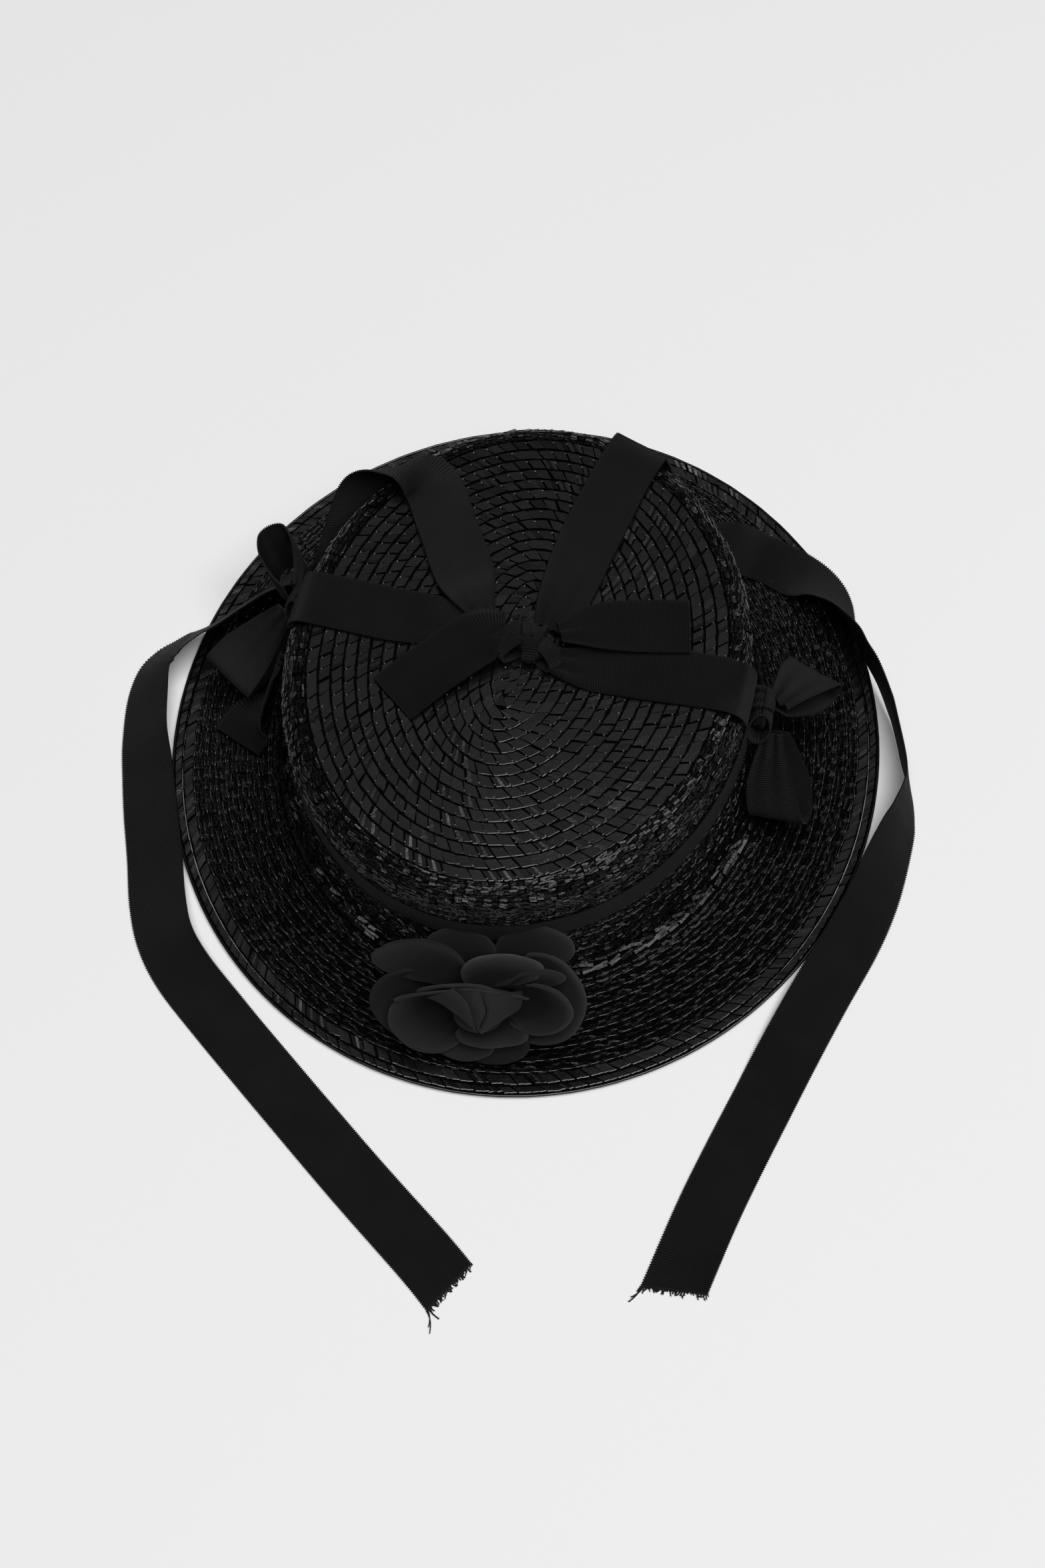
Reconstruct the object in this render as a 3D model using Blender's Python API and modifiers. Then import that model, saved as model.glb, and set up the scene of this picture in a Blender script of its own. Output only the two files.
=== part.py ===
"""Boater hat of black sewn braid straw, with grosgrain ribbons, side bows, chin ties and a cloth flower.

The front of the hat looks along -Y. The brim's rolled edge stands on the plane Z = 0,
and the two ties lie on it.
"""
import math

import bmesh
import bpy
from mathutils import Matrix, Vector

# All lengths are in metres and all angles in degrees.
# Brim
BRIM_HALF_WIDTH = 0.148
BRIM_HALF_LENGTH = 0.159
BRIM_WIDTH = 0.0495
BRIM_RISE = 0.0065
BRIM_LIFT = 0.0004
EDGE_WIDTH = 0.0042
EDGE_THICKNESS = 0.0028

# Crown
CROWN_HALF_WIDTH = 0.0915
CROWN_HALF_LENGTH = 0.1110
CROWN_HEIGHT = 0.0740
CROWN_SHIFT = -0.0034
SHOULDER_RADIUS = 0.0095
STRAW_THICKNESS = 0.0020

# Ribbon
RIBBON_WIDTH = 0.0245
RIBBON_THICKNESS = 0.0010
BAND_FOOT = 0.0385
BAND_WIDTH = 0.0150
GAP = 0.0003
REST_GAP = 0.0005

# Knots and bows
TOP_KNOT_LENGTH = 0.0250
TOP_KNOT_WIDTH = 0.0170
TOP_KNOT_HEIGHT = 0.0100
SIDE_KNOT_LENGTH = 0.0190
SIDE_KNOT_DEPTH = 0.0090
SIDE_KNOT_HEIGHT = 0.0200
TOP_KNOT_SIDE = 0.0050
TOP_KNOT_BACK = 0.0015
TOP_KNOT_TURN = -30.0
SIDE_KNOT_TURNS = {"left": 174.0, "right": 5.0}
LOOP_LENGTH = 0.0370
LOOP_OPENING = 0.0130

# Flower
FLOWER_HALF_WIDTH = 0.0430
FLOWER_HALF_DEPTH = 0.0295
FLOWER_HEIGHT = 0.0190
FLOWER_SIDE = 0.0140
FLOWER_SETBACK = 0.0034
FLOWER_SINK = 0.0021
FLOWER_LEAN = 44.0
PETAL_THICKNESS = 0.0010
PETAL_STEP = 0.0019

# Points round each oval, and a rounded knot's half size as a share of its cage
ROUND = 56
KNOT_ROUNDING = 0.41

# Crown wall, a row for each section: share of the height, of the half width and of the half length
WALL_ROWS = (
    (1.0 - SHOULDER_RADIUS / CROWN_HEIGHT, 1.000, 1.000),
    (0.850, 0.992, 0.988),
    (0.520, 1.006, 0.972),
    (0.300, 1.028, 0.974),
    (0.190, 1.052, 0.980),
)

# Brim section: share of the width out from the wall, and of the rise
BRIM_ROWS = (
    (0.00, 1.00),
    (0.02, 1.00),
    (0.06, 0.66),
    (0.13, 0.40),
    (0.35, 0.24),
    (0.70, 0.10),
    (1.00, 0.00),
)

# A bow's loop, seen from its side: share of the length out from the knot, of the opening,
# and of the ribbon's width
LOOP_ROWS = (
    (0.00, 0.16, 0.38),
    (0.22, 0.36, 0.60),
    (0.55, 0.50, 0.90),
    (0.85, 0.42, 1.00),
    (0.98, 0.18, 1.00),
    (0.98, -0.18, 1.00),
    (0.85, -0.42, 1.00),
    (0.55, -0.50, 0.90),
    (0.22, -0.36, 0.60),
    (0.00, -0.16, 0.38),
)

# A ribbon's stations: where it lies, two places there, lift as a share of the ribbon's width,
# roll in degrees, and its width there as a share of the whole width.
# "top" gives shares of the crown's half width and half length, "side" an angle in degrees and a share of
# the crown's height, "brim" an angle and a share of the brim's width, "table" shares of the brim's half
# width and half length.
ARM_LEFT = (
    ("top", -0.250, 0.026, 0.041, 0, 0.50),
    ("top", -0.380, 0.036, 0.012, 0, 0.90),
    ("top", -0.560, 0.022, 0.012, 0, 1.00),
    ("top", -0.800, 0.020, 0.012, 0, 1.00),
    ("side", 179, 1.000, 0.024, 0, 1.00),
    ("side", 179, 0.955, 0.024, 0, 0.98),
    ("side", 179, 0.885, 0.016, 0, 0.90),
)
ARM_RIGHT = (
    ("top", 0.160, -0.026, 0.049, 0, 0.45),
    ("top", 0.32, -0.020, 0.012, 0, 0.80),
    ("top", 0.52, 0.010, 0.012, 0, 1.00),
    ("top", 0.82, 0.035, 0.012, 0, 1.00),
    ("side", 2, 1.000, 0.024, 0, 1.00),
    ("side", 2, 0.955, 0.024, 0, 0.98),
    ("side", 2, 0.885, 0.016, 0, 0.90),
)
TOP_TAIL_LEFT = (
    ("top", -0.062, 0.024, 0.220, 0, 0.70),
    ("top", -0.160, -0.010, 0.220, 0, 1.00),
    ("top", -0.320, -0.160, 0.122, 0, 1.00),
    ("top", -0.455, -0.310, 0.016, 0, 1.00),
)
TOP_TAIL_RIGHT = (
    ("top", 0.160, 0.076, 0.188, 0, 0.45),
    ("top", 0.290, 0.130, 0.163, 0, 0.85),
    ("top", 0.450, 0.175, 0.114, 0, 1.00),
    ("top", 0.690, 0.225, 0.086, 0, 1.00),
)
TIE_LEFT = (
    ("top", -0.185, 0.090, 0.139, 0, 0.45),
    ("top", -0.260, 0.168, 0.122, 0, 0.80),
    ("top", -0.325, 0.250, 0.065, 0, 1.00),
    ("top", -0.470, 0.420, 0.090, 0, 1.00),
    ("top", -0.640, 0.560, 0.184, 0, 1.00),
    ("top", -0.775, 0.640, 0.188, 6, 1.00),
    ("side", 146, 0.900, 0.286, 6, 1.00),
    ("side", 151, 0.600, 0.327, 10, 1.00),
    ("side", 155, 0.330, 0.347, 24, 1.00),
    ("brim", 160.0, 0.440, 0.041, 44, 1.00),
    ("brim", 165.8, 0.598, 0.024, 56, 1.00),
    ("brim", 170.7, 0.730, 0.016, 58, 1.00),
    ("brim", 175.2, 0.876, 0.008, 58, 1.00),
    ("brim", 177.8, 1.006, 0.000, 54, 1.00),
    ("table", -1.038, 0.005, 0.049, 48, 1.00),
    ("table", -1.066, -0.026, 0.012, 44, 1.00),
    ("table", -1.085, -0.070, 0.000, 44, 1.00),
    ("table", -1.076, -0.151, 0.000, 37, 1.00),
    ("table", -1.047, -0.250, 0.000, 33, 1.00),
    ("table", -1.007, -0.345, 0.000, 24, 1.00),
    ("table", -0.954, -0.466, 0.000, 18, 1.00),
    ("table", -0.900, -0.582, 0.000, 14, 1.00),
    ("table", -0.852, -0.693, 0.000, 14, 1.00),
    ("table", -0.796, -0.786, 0.000, 16, 1.00),
    ("table", -0.718, -0.862, 0.000, 11, 1.00),
    ("table", -0.590, -0.950, 0.000, 4, 1.00),
    ("table", -0.430, -1.055, 0.000, 0, 1.00),
    ("table", -0.120, -1.255, 0.000, 0, 1.00),
    ("table", 0.115, -1.400, 0.000, 0, 1.00),
    ("table", 0.200, -1.457, 0.000, 0, 1.00),
)
TIE_RIGHT = (
    ("top", 0.100, 0.096, 0.065, 0, 0.50),
    ("top", 0.128, 0.210, 0.082, 0, 0.85),
    ("top", 0.160, 0.480, 0.049, 0, 1.00),
    ("top", 0.220, 0.780, 0.049, 0, 1.00),
    ("top", 0.265, 0.930, 0.049, 0, 1.00),
    ("side", 74.0, 0.960, 0.041, 0, 1.00),
    ("side", 72.5, 0.800, 0.082, 0, 1.00),
    ("side", 69.0, 0.450, 0.122, 4, 1.00),
    ("side", 64.0, 0.220, 0.408, 26, 1.00),
    ("brim", 56.7, 0.445, 0.163, 8, 1.00),
    ("brim", 51.9, 0.625, 0.049, 0, 1.00),
    ("brim", 46.2, 0.765, 0.041, 0, 1.00),
    ("brim", 41.5, 0.840, 0.033, -16, 1.00),
    ("brim", 36.5, 0.865, 0.024, -46, 1.00),
    ("brim", 32.2, 0.880, 0.016, -70, 1.00),
    ("brim", 28.6, 0.920, 0.012, -80, 1.00),
    ("brim", 25.4, 0.954, 0.012, -80, 1.00),
    ("brim", 22.4, 0.996, 0.012, -82, 1.00),
    ("table", 0.965, 0.320, 0.065, -82, 1.00),
    ("table", 0.998, 0.264, 0.012, -82, 1.00),
    ("table", 1.042, 0.158, 0.000, -82, 1.00),
    ("table", 1.074, 0.075, 0.000, -76, 1.00),
    ("table", 1.078, 0.000, 0.000, -62, 1.00),
    ("table", 1.070, -0.060, 0.000, -50, 1.00),
    ("table", 1.057, -0.148, 0.000, -39, 1.00),
    ("table", 1.040, -0.250, 0.000, -29, 1.00),
    ("table", 1.011, -0.360, 0.000, -20, 1.00),
    ("table", 0.962, -0.510, 0.000, -13, 1.00),
    ("table", 0.918, -0.655, 0.000, -7, 1.00),
    ("table", 0.870, -0.830, 0.000, 0, 1.00),
    ("table", 0.800, -1.100, 0.000, 0, 1.00),
    ("table", 0.754, -1.332, 0.000, 0, 1.00),
)
LEFT_TAIL = (
    ("side", 184.5, 0.520, 0.306, 0, 0.35),
    ("side", 185.5, 0.400, 0.408, 0, 0.45),
    ("side", 189.0, 0.250, 0.490, 0, 0.80),
    ("brim", 191.5, 0.330, 0.131, 12, 1.00),
    ("brim", 195.1, 0.438, -0.008, 8, 1.00),
)
# How far a ribbon's cut end slants, as a share of its width
CUTS = {
    "tie_left": 0.14,
    "tie_right": 0.32,
}

# Bow loops: name, knot it leaves, heading, pitch and roll in degrees, share of the loop's length and of its
# opening, and share of the knot's depth that the loop stands out from the wall
LOOPS = (
    ("left_loop_back", "left", 118, -20, 76, 0.90, 1.15, 0.35),
    ("left_loop_front", "left", 226, -42, -26, 1.08, 1.00, 0.35),
    ("right_loop_back", "right", 66, -30, -6, 0.95, 0.90, 0.35),
    ("right_loop_front", "right", -68, -48, 40, 1.02, 1.00, 0.60),
)

# Petal rings: name, petals, first angle and half spread in degrees, inner and outer share of the radius,
# inner and outer share of the flower's height, steps that neighbours lie apart, and the share of the
# height that rims curl
PETAL_RINGS = (
    ("petal_outer", 6, 22.0, 40.0, 0.16, 1.00, 0.00, 0.16, 2, 0.10),
    ("petal_middle", 4, 50.0, 50.0, 0.13, 0.70, 0.17, 0.43, 2, 0.12),
    ("petal_inner", 3, 90.0, 56.0, 0.12, 0.40, 0.34, 0.80, 1, 0.05),
)
BUD_SHARE = 0.26
BUD_HEIGHT_SHARE = 0.27
BUD_RISE = 0.70
BUD_STRETCH = 1.25

# How a petal's outline goes: its neck's share of the spread, the corners' rounding, its cup, and where
# the rim starts to curl
PETAL_NECK = 0.55
PETAL_CORNER = 0.14
PETAL_CUP = 1.4
PETAL_CURL_FROM = 0.75

COLLECTION = bpy.data.collections.new("boater_hat")


def clear_scene():
    for old in list(bpy.data.objects):
        bpy.data.objects.remove(old, do_unlink=True)
    bpy.context.scene.collection.children.link(COLLECTION)


def material(name, colour, roughness):
    found = bpy.data.materials.get(name)
    if found:
        return found
    made = bpy.data.materials.new(name)
    made.use_nodes = True
    shader = made.node_tree.nodes["Principled BSDF"]
    shader.inputs["Base Color"].default_value = (*colour, 1.0)
    shader.inputs["Roughness"].default_value = roughness
    shader.inputs["Metallic"].default_value = 0.0
    return made


def straw():
    return material("black_straw", (0.012, 0.012, 0.014), 0.22)


def grosgrain():
    return material("black_grosgrain", (0.020, 0.020, 0.022), 0.75)


def petal_cloth():
    return material("charcoal_cloth", (0.035, 0.034, 0.036), 0.85)


def add_object(name, mesh, finish):
    part = bpy.data.objects.new(name, mesh)
    COLLECTION.objects.link(part)
    mesh.materials.append(finish)
    mesh.shade_smooth()
    mesh.set_sharp_from_angle(angle=math.radians(40))
    return part


def grid_mesh(name, rows, closed=False):
    """Skins rows of points with quads; closed joins each row's ends."""
    bm = bmesh.new()
    made = [[bm.verts.new(point) for point in row] for row in rows]
    for lower, upper in zip(made, made[1:]):
        count = len(lower)
        for i in range(count if closed else count - 1):
            j = (i + 1) % count
            bm.faces.new((lower[i], lower[j], upper[j], upper[i]))
    mesh = bpy.data.meshes.new(name)
    bm.to_mesh(mesh)
    bm.free()
    return mesh


def thicken(part, thickness, offset):
    wall = part.modifiers.new("wall", "SOLIDIFY")
    wall.thickness = thickness
    wall.offset = offset
    wall.use_even_offset = True


def oval(half_width, half_length, height, angle, shift=0.0):
    return Vector((shift + half_width * math.cos(angle), half_length * math.sin(angle), height))


def oval_ring(half_width, half_length, height, shift=0.0):
    turns = [2 * math.pi * i / ROUND for i in range(ROUND)]
    return [oval(half_width, half_length, height, turn, shift) for turn in turns]


def row_value(rows, share, column):
    """Reads a table by its first column, with straight runs between rows."""
    ordered = sorted(rows)
    if share <= ordered[0][0]:
        return ordered[0][column]
    for low, high in zip(ordered, ordered[1:]):
        if share <= high[0]:
            part = (share - low[0]) / (high[0] - low[0])
            return low[column] + part * (high[column] - low[column])
    return ordered[-1][column]


def brim_top(share):
    return BRIM_LIFT + STRAW_THICKNESS + BRIM_RISE * row_value(BRIM_ROWS, share, 1)


def brim_half(share, half_size):
    """Half size of the brim at a share of its width, parallel to its edge."""
    return half_size - BRIM_WIDTH * (1.0 - share)


def wall_half(share, wide):
    """Outer half size of the crown wall at a share of its height, meeting the brim at the foot."""
    full = CROWN_HALF_WIDTH if wide else CROWN_HALF_LENGTH
    edge = BRIM_HALF_WIDTH if wide else BRIM_HALF_LENGTH
    foot_share = brim_top(0.0) / CROWN_HEIGHT
    foot_row = (foot_share, brim_half(0.0, edge) / full, brim_half(0.0, edge) / full)
    return full * row_value(WALL_ROWS + (foot_row,), share, 1 if wide else 2)


def crown_shift(share):
    """The crown leans a little to the left of the brim as it rises."""
    foot_share = brim_top(0.0) / CROWN_HEIGHT
    return CROWN_SHIFT * min(1.0, max(0.0, (share - foot_share) / (1.0 - foot_share)))


def crown_outline():
    """The crown's outer face from the middle of the top to the foot: height, half width, half length."""
    inset = SHOULDER_RADIUS
    flat_width = CROWN_HALF_WIDTH - inset
    flat_length = CROWN_HALF_LENGTH - inset
    flat = (0.05, 0.40, 0.75, 0.94, 1.0)
    rows = [(CROWN_HEIGHT, flat_width * share, flat_length * share) for share in flat]
    for step in (22.5, 45.0, 67.5, 90.0):
        turn = math.radians(step)
        out = inset * math.sin(turn)
        rows.append((CROWN_HEIGHT - inset * (1.0 - math.cos(turn)), flat_width + out, flat_length + out))
    foot = brim_top(0.0)
    for height in [CROWN_HEIGHT * row[0] for row in WALL_ROWS[1:]] + [foot, foot - STRAW_THICKNESS]:
        share = height / CROWN_HEIGHT
        rows.append((height, wall_half(share, True), wall_half(share, False)))
    return rows


def make_crown():
    rings = []
    for height, half_width, half_length in crown_outline():
        rings.append(oval_ring(half_width, half_length, height, crown_shift(height / CROWN_HEIGHT)))
    rings = [list(reversed(ring)) for ring in rings]
    mesh = grid_mesh("crown", rings, closed=True)
    bm = bmesh.new()
    bm.from_mesh(mesh)
    level = CROWN_HEIGHT - SHOULDER_RADIUS
    rim = [edge for edge in bm.edges if edge.is_boundary and edge.verts[0].co.z > level]
    bmesh.ops.holes_fill(bm, edges=rim)
    bmesh.ops.recalc_face_normals(bm, faces=bm.faces)
    if max(bm.faces, key=lambda f: f.calc_center_median().z).normal.z < 0:
        bmesh.ops.reverse_faces(bm, faces=bm.faces)
    bm.to_mesh(mesh)
    bm.free()
    thicken(add_object("crown", mesh, straw()), STRAW_THICKNESS, -1.0)


def make_brim():
    """The brim starts at the foot of the crown's wall and ends beside the rolled edge."""
    inner = GAP / BRIM_WIDTH
    outer = 1.0 - (EDGE_WIDTH + GAP) / BRIM_WIDTH
    rings = []
    for share in [inner] + [row[0] for row in BRIM_ROWS[1:-1]] + [outer]:
        half_width = brim_half(share, BRIM_HALF_WIDTH)
        half_length = brim_half(share, BRIM_HALF_LENGTH)
        rings.append(oval_ring(half_width, half_length, brim_top(share)))
    mesh = grid_mesh("brim", [list(reversed(ring)) for ring in rings], closed=True)
    part = add_object("brim", mesh, straw())
    thicken(part, STRAW_THICKNESS, -1.0)
    part.modifiers["wall"].use_even_offset = False


def make_brim_edge():
    """Last row of braid, rolled: flat below, rounded above."""
    outer = oval_ring(BRIM_HALF_WIDTH, BRIM_HALF_LENGTH, 0.0)
    inner = oval_ring(BRIM_HALF_WIDTH - EDGE_WIDTH, BRIM_HALF_LENGTH - EDGE_WIDTH, 0.0)
    part = add_object("brim_edge", grid_mesh("brim_edge", [outer, inner], closed=True), straw())
    thicken(part, EDGE_THICKNESS, 1.0)
    soft = part.modifiers.new("soft_top", "BEVEL")
    soft.width = EDGE_THICKNESS * 0.3
    soft.segments = 1
    soft.limit_method = "ANGLE"


def side_surface(angle, share, lift):
    """A point off the crown's outer face, on the wall or the shoulder, and the way out from it."""
    height = CROWN_HEIGHT * share
    shoulder = CROWN_HEIGHT - SHOULDER_RADIUS
    tilt = 0.0
    half_width = wall_half(min(share, WALL_ROWS[0][0]), True)
    half_length = wall_half(min(share, WALL_ROWS[0][0]), False)
    if height > shoulder:
        tilt = math.asin(min(1.0, (height - shoulder) / SHOULDER_RADIUS)) * 0.5
        inset = SHOULDER_RADIUS * (1.0 - math.cos(2.0 * tilt)) * 0.55
        half_width = half_width - inset
        half_length = half_length - inset
    point = oval(half_width, half_length, height, angle, crown_shift(share))
    out = Vector((math.cos(angle) / half_width, math.sin(angle) / half_length, 0.0)).normalized()
    normal = (out * math.cos(tilt) + Vector((0.0, 0.0, 1.0)) * math.sin(tilt)).normalized()
    return point + normal * lift, normal


def place_point(place, first, second, lift, roll, half_width):
    """A station's point and the way out of the surface that it lies on."""
    up = Vector((0.0, 0.0, 1.0))
    lift = lift * RIBBON_WIDTH
    base = GAP + RIBBON_THICKNESS / 2 + lift
    stand = half_width * abs(math.sin(math.radians(roll)))
    if place == "top":
        spot = (CROWN_SHIFT + first * CROWN_HALF_WIDTH, second * CROWN_HALF_LENGTH, CROWN_HEIGHT + base)
        return Vector(spot), up
    if place == "side":
        return side_surface(math.radians(first), second, base)
    if place == "brim":
        half_x = brim_half(second, BRIM_HALF_WIDTH)
        half_y = brim_half(second, BRIM_HALF_LENGTH)
        level = max(brim_top(second), EDGE_THICKNESS if second > 0.85 else 0.0)
        return oval(half_x, half_y, level + base + stand, math.radians(first)), up
    level = RIBBON_THICKNESS / 2 + lift + stand
    return Vector((first * BRIM_HALF_WIDTH, second * BRIM_HALF_LENGTH, level)), up


def between(values, index, part):
    """Catmull-Rom blend of a list of numbers or vectors."""
    last = len(values) - 1
    a = values[max(index - 1, 0)]
    b = values[index]
    c = values[min(index + 1, last)]
    d = values[min(index + 2, last)]
    slope = (c - a) * part
    bend = (2.0 * a - 5.0 * b + 4.0 * c - d) * part ** 2
    twist = (3.0 * b - a - 3.0 * c + d) * part ** 3
    return 0.5 * (2.0 * b + slope + bend + twist)


def ribbon_rows(stations, steps, cut):
    """Edge, middle and edge points of a ribbon that follows its stations."""
    points = []
    normals = []
    rolls = [float(row[4]) for row in stations]
    halves = [row[5] * RIBBON_WIDTH / 2 for row in stations]
    for row, half in zip(stations, halves):
        point, normal = place_point(row[0], row[1], row[2], row[3], row[4], half)
        points.append(point)
        normals.append(normal)
    path = []
    for index in range(len(stations) - 1):
        for step in range(steps):
            path.append((index, step / steps))
    path.append((len(stations) - 2, 1.0))
    line = [between(points, index, part) for index, part in path]
    rows = []
    for number, (index, part) in enumerate(path):
        ahead = line[min(number + 1, len(line) - 1)] - line[max(number - 1, 0)]
        ahead.normalize()
        normal = between(normals, index, part).normalized()
        across = ahead.cross(normal).normalized()
        turn = Matrix.Rotation(math.radians(between(rolls, index, part)), 3, ahead)
        reach = (turn @ across) * between(halves, index, part)
        sunk = RIBBON_THICKNESS / 2 - line[number].z + abs(reach.z)
        middle = line[number] + Vector((0.0, 0.0, max(0.0, sunk)))
        rows.append([middle - reach, middle, middle + reach])
    slant = ahead * cut * RIBBON_WIDTH / 2
    rows[-1][0] -= slant
    rows[-1][2] += slant
    return rows


def make_ribbon(name, stations, steps=2):
    part = add_object(name, grid_mesh(name, ribbon_rows(stations, steps, CUTS.get(name, 0.0))), grosgrain())
    thicken(part, RIBBON_THICKNESS, 0.0)


def make_hat_band():
    """A closed loop of narrower ribbon round the middle of the crown wall."""
    lift = GAP + RIBBON_THICKNESS / 2
    rings = []
    for part in (0.0, 0.5, 1.0):
        share = (BAND_FOOT + BAND_WIDTH * part) / CROWN_HEIGHT
        turns = [2 * math.pi * i / ROUND for i in range(ROUND)]
        rings.append([side_surface(turn, share, lift)[0] for turn in turns])
    part = add_object("hat_band", grid_mesh("hat_band", rings, closed=True), grosgrain())
    thicken(part, RIBBON_THICKNESS, 0.0)


def make_knot(name, centre, sizes, turn):
    """A pulled knot: a coarse cushion, rounded."""
    bm = bmesh.new()
    bmesh.ops.create_cube(bm, size=1.0)
    bmesh.ops.scale(bm, vec=Vector(sizes), verts=bm.verts)
    mesh = bpy.data.meshes.new(name)
    bm.to_mesh(mesh)
    bm.free()
    mesh.transform(Matrix.Translation(centre) @ Matrix.Rotation(turn, 4, "Z"))
    part = add_object(name, mesh, grosgrain())
    soft = part.modifiers.new("soft", "SUBSURF")
    soft.levels = 2
    soft.render_levels = 2


def knot_seat(side):
    """Middle of a side bow's knot, against the band."""
    angle = math.radians(SIDE_KNOT_TURNS[side])
    share = (BAND_FOOT + RIBBON_WIDTH * 0.5) / CROWN_HEIGHT
    lift = 2 * GAP + RIBBON_THICKNESS + SIDE_KNOT_DEPTH * (KNOT_ROUNDING + 0.01)
    return side_surface(angle, share, lift)


def knot_reach(way, out):
    """How far a side knot reaches from its middle along a direction."""
    along = Vector((-out.y, out.x, 0.0)).normalized()
    flat = Vector((out.x, out.y, 0.0)).normalized()
    outward = way.dot(flat) / SIDE_KNOT_DEPTH
    sideways = way.dot(along) / SIDE_KNOT_LENGTH
    return KNOT_ROUNDING / Vector((outward, sideways, way.z / SIDE_KNOT_HEIGHT)).length


def make_knots():
    rise = CROWN_HEIGHT + REST_GAP + TOP_KNOT_HEIGHT * KNOT_ROUNDING
    middle = Vector((CROWN_SHIFT + TOP_KNOT_SIDE, TOP_KNOT_BACK, rise))
    sizes = (TOP_KNOT_LENGTH, TOP_KNOT_WIDTH, TOP_KNOT_HEIGHT)
    make_knot("top_knot", middle, sizes, math.radians(TOP_KNOT_TURN))
    for side in SIDE_KNOT_TURNS:
        centre, out = knot_seat(side)
        sizes = (SIDE_KNOT_DEPTH, SIDE_KNOT_LENGTH, SIDE_KNOT_HEIGHT)
        make_knot(side + "_knot", centre, sizes, math.atan2(out.y, out.x))


def make_loop(name, side, heading, pitch, roll, length_share, opening_share, outset):
    """One loop of a side bow, open at both edges of the ribbon."""
    centre, out = knot_seat(side)
    turned = Matrix.Rotation(math.radians(heading), 3, "Z")
    turned = turned @ Matrix.Rotation(math.radians(-pitch), 3, "Y")
    turned = turned @ Matrix.Rotation(math.radians(roll), 3, "X")
    start = centre + out * SIDE_KNOT_DEPTH * outset
    start += turned @ Vector((knot_reach(turned @ Vector((1.0, 0.0, 0.0)), out) + REST_GAP, 0.0, 0.0))
    rows = []
    for along, across, width in LOOP_ROWS:
        along = along * LOOP_LENGTH * length_share
        rise = across * LOOP_OPENING * opening_share
        half = width * RIBBON_WIDTH / 2
        rows.append([start + turned @ Vector((along, reach, rise)) for reach in (-half, 0.0, half)])
    part = add_object(name, grid_mesh(name, rows), grosgrain())
    thicken(part, RIBBON_THICKNESS, 0.0)


def flower_place():
    """The flower leans back from the brim against the crown's wall."""
    lean = math.radians(FLOWER_LEAN)
    rise = FLOWER_HALF_DEPTH * math.sin(lean) - FLOWER_SINK
    back = wall_half(BAND_FOOT / CROWN_HEIGHT, False) + FLOWER_HALF_DEPTH * math.cos(lean)
    seat = Vector((FLOWER_SIDE, FLOWER_SETBACK - back, brim_top(1.0) + rise))
    return Matrix.Translation(seat) @ Matrix.Rotation(lean, 4, "X")


def petal_rows(angle, spread, inner, outer, low, high, step, curl):
    """Points of a petal: rows run out from the heart, columns run round it."""
    rows = []
    for out in (0.0, 0.25, 0.5, 0.75, 0.92, 1.0):
        widest = math.sin(math.pi * (0.15 + 0.55 * out))
        narrow = PETAL_NECK + (1.0 - PETAL_NECK) * widest
        row = []
        for across in (-1.0, -0.6, -0.2, 0.2, 0.6, 1.0):
            turn = math.radians(angle + spread * across * narrow)
            reach = out * (1.0 - PETAL_CORNER * abs(across) ** 3 * out)
            radius = inner + (outer - inner) * reach
            height = low + (high - low) * reach ** PETAL_CUP
            height += curl * max(0.0, reach - PETAL_CURL_FROM) / (1.0 - PETAL_CURL_FROM)
            spot = (
                FLOWER_HALF_WIDTH * radius * math.cos(turn),
                FLOWER_HALF_DEPTH * radius * math.sin(turn),
                FLOWER_HEIGHT * height + step * PETAL_STEP,
            )
            row.append(Vector(spot))
        rows.append(row)
    return rows


def make_flower():
    stand = flower_place()
    for name, count, first, spread, inner, outer, low, high, steps, curl in PETAL_RINGS:
        for number in range(count):
            angle = first + 360.0 * number / count
            rows = petal_rows(angle, spread, inner, outer, low, high, number % steps, curl)
            mesh = grid_mesh(name, rows)
            mesh.transform(stand)
            part = add_object(f"{name}_{number + 1}", mesh, petal_cloth())
            thicken(part, PETAL_THICKNESS, 0.0)
    make_bud(stand)


def make_bud(stand):
    bm = bmesh.new()
    size = FLOWER_HALF_DEPTH * BUD_SHARE
    bmesh.ops.create_uvsphere(bm, u_segments=12, v_segments=8, radius=1.0)
    spread = Vector((size * BUD_STRETCH, size, FLOWER_HEIGHT * BUD_HEIGHT_SHARE))
    bmesh.ops.scale(bm, vec=spread, verts=bm.verts)
    mesh = bpy.data.meshes.new("flower_bud")
    bm.to_mesh(mesh)
    bm.free()
    mesh.transform(stand @ Matrix.Translation(Vector((0.0, 0.0, FLOWER_HEIGHT * BUD_RISE))))
    add_object("flower_bud", mesh, petal_cloth())


def centre_on_origin():
    """Moves the whole hat so that the box round hat and ties stands centred on the origin."""
    bpy.context.view_layer.update()
    corners = [part.matrix_world @ Vector(corner) for part in COLLECTION.objects for corner in part.bound_box]
    middle_x = (min(c.x for c in corners) + max(c.x for c in corners)) / 2
    middle_y = (min(c.y for c in corners) + max(c.y for c in corners)) / 2
    for part in COLLECTION.objects:
        part.data.transform(Matrix.Translation((-middle_x, -middle_y, 0.0)))


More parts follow.
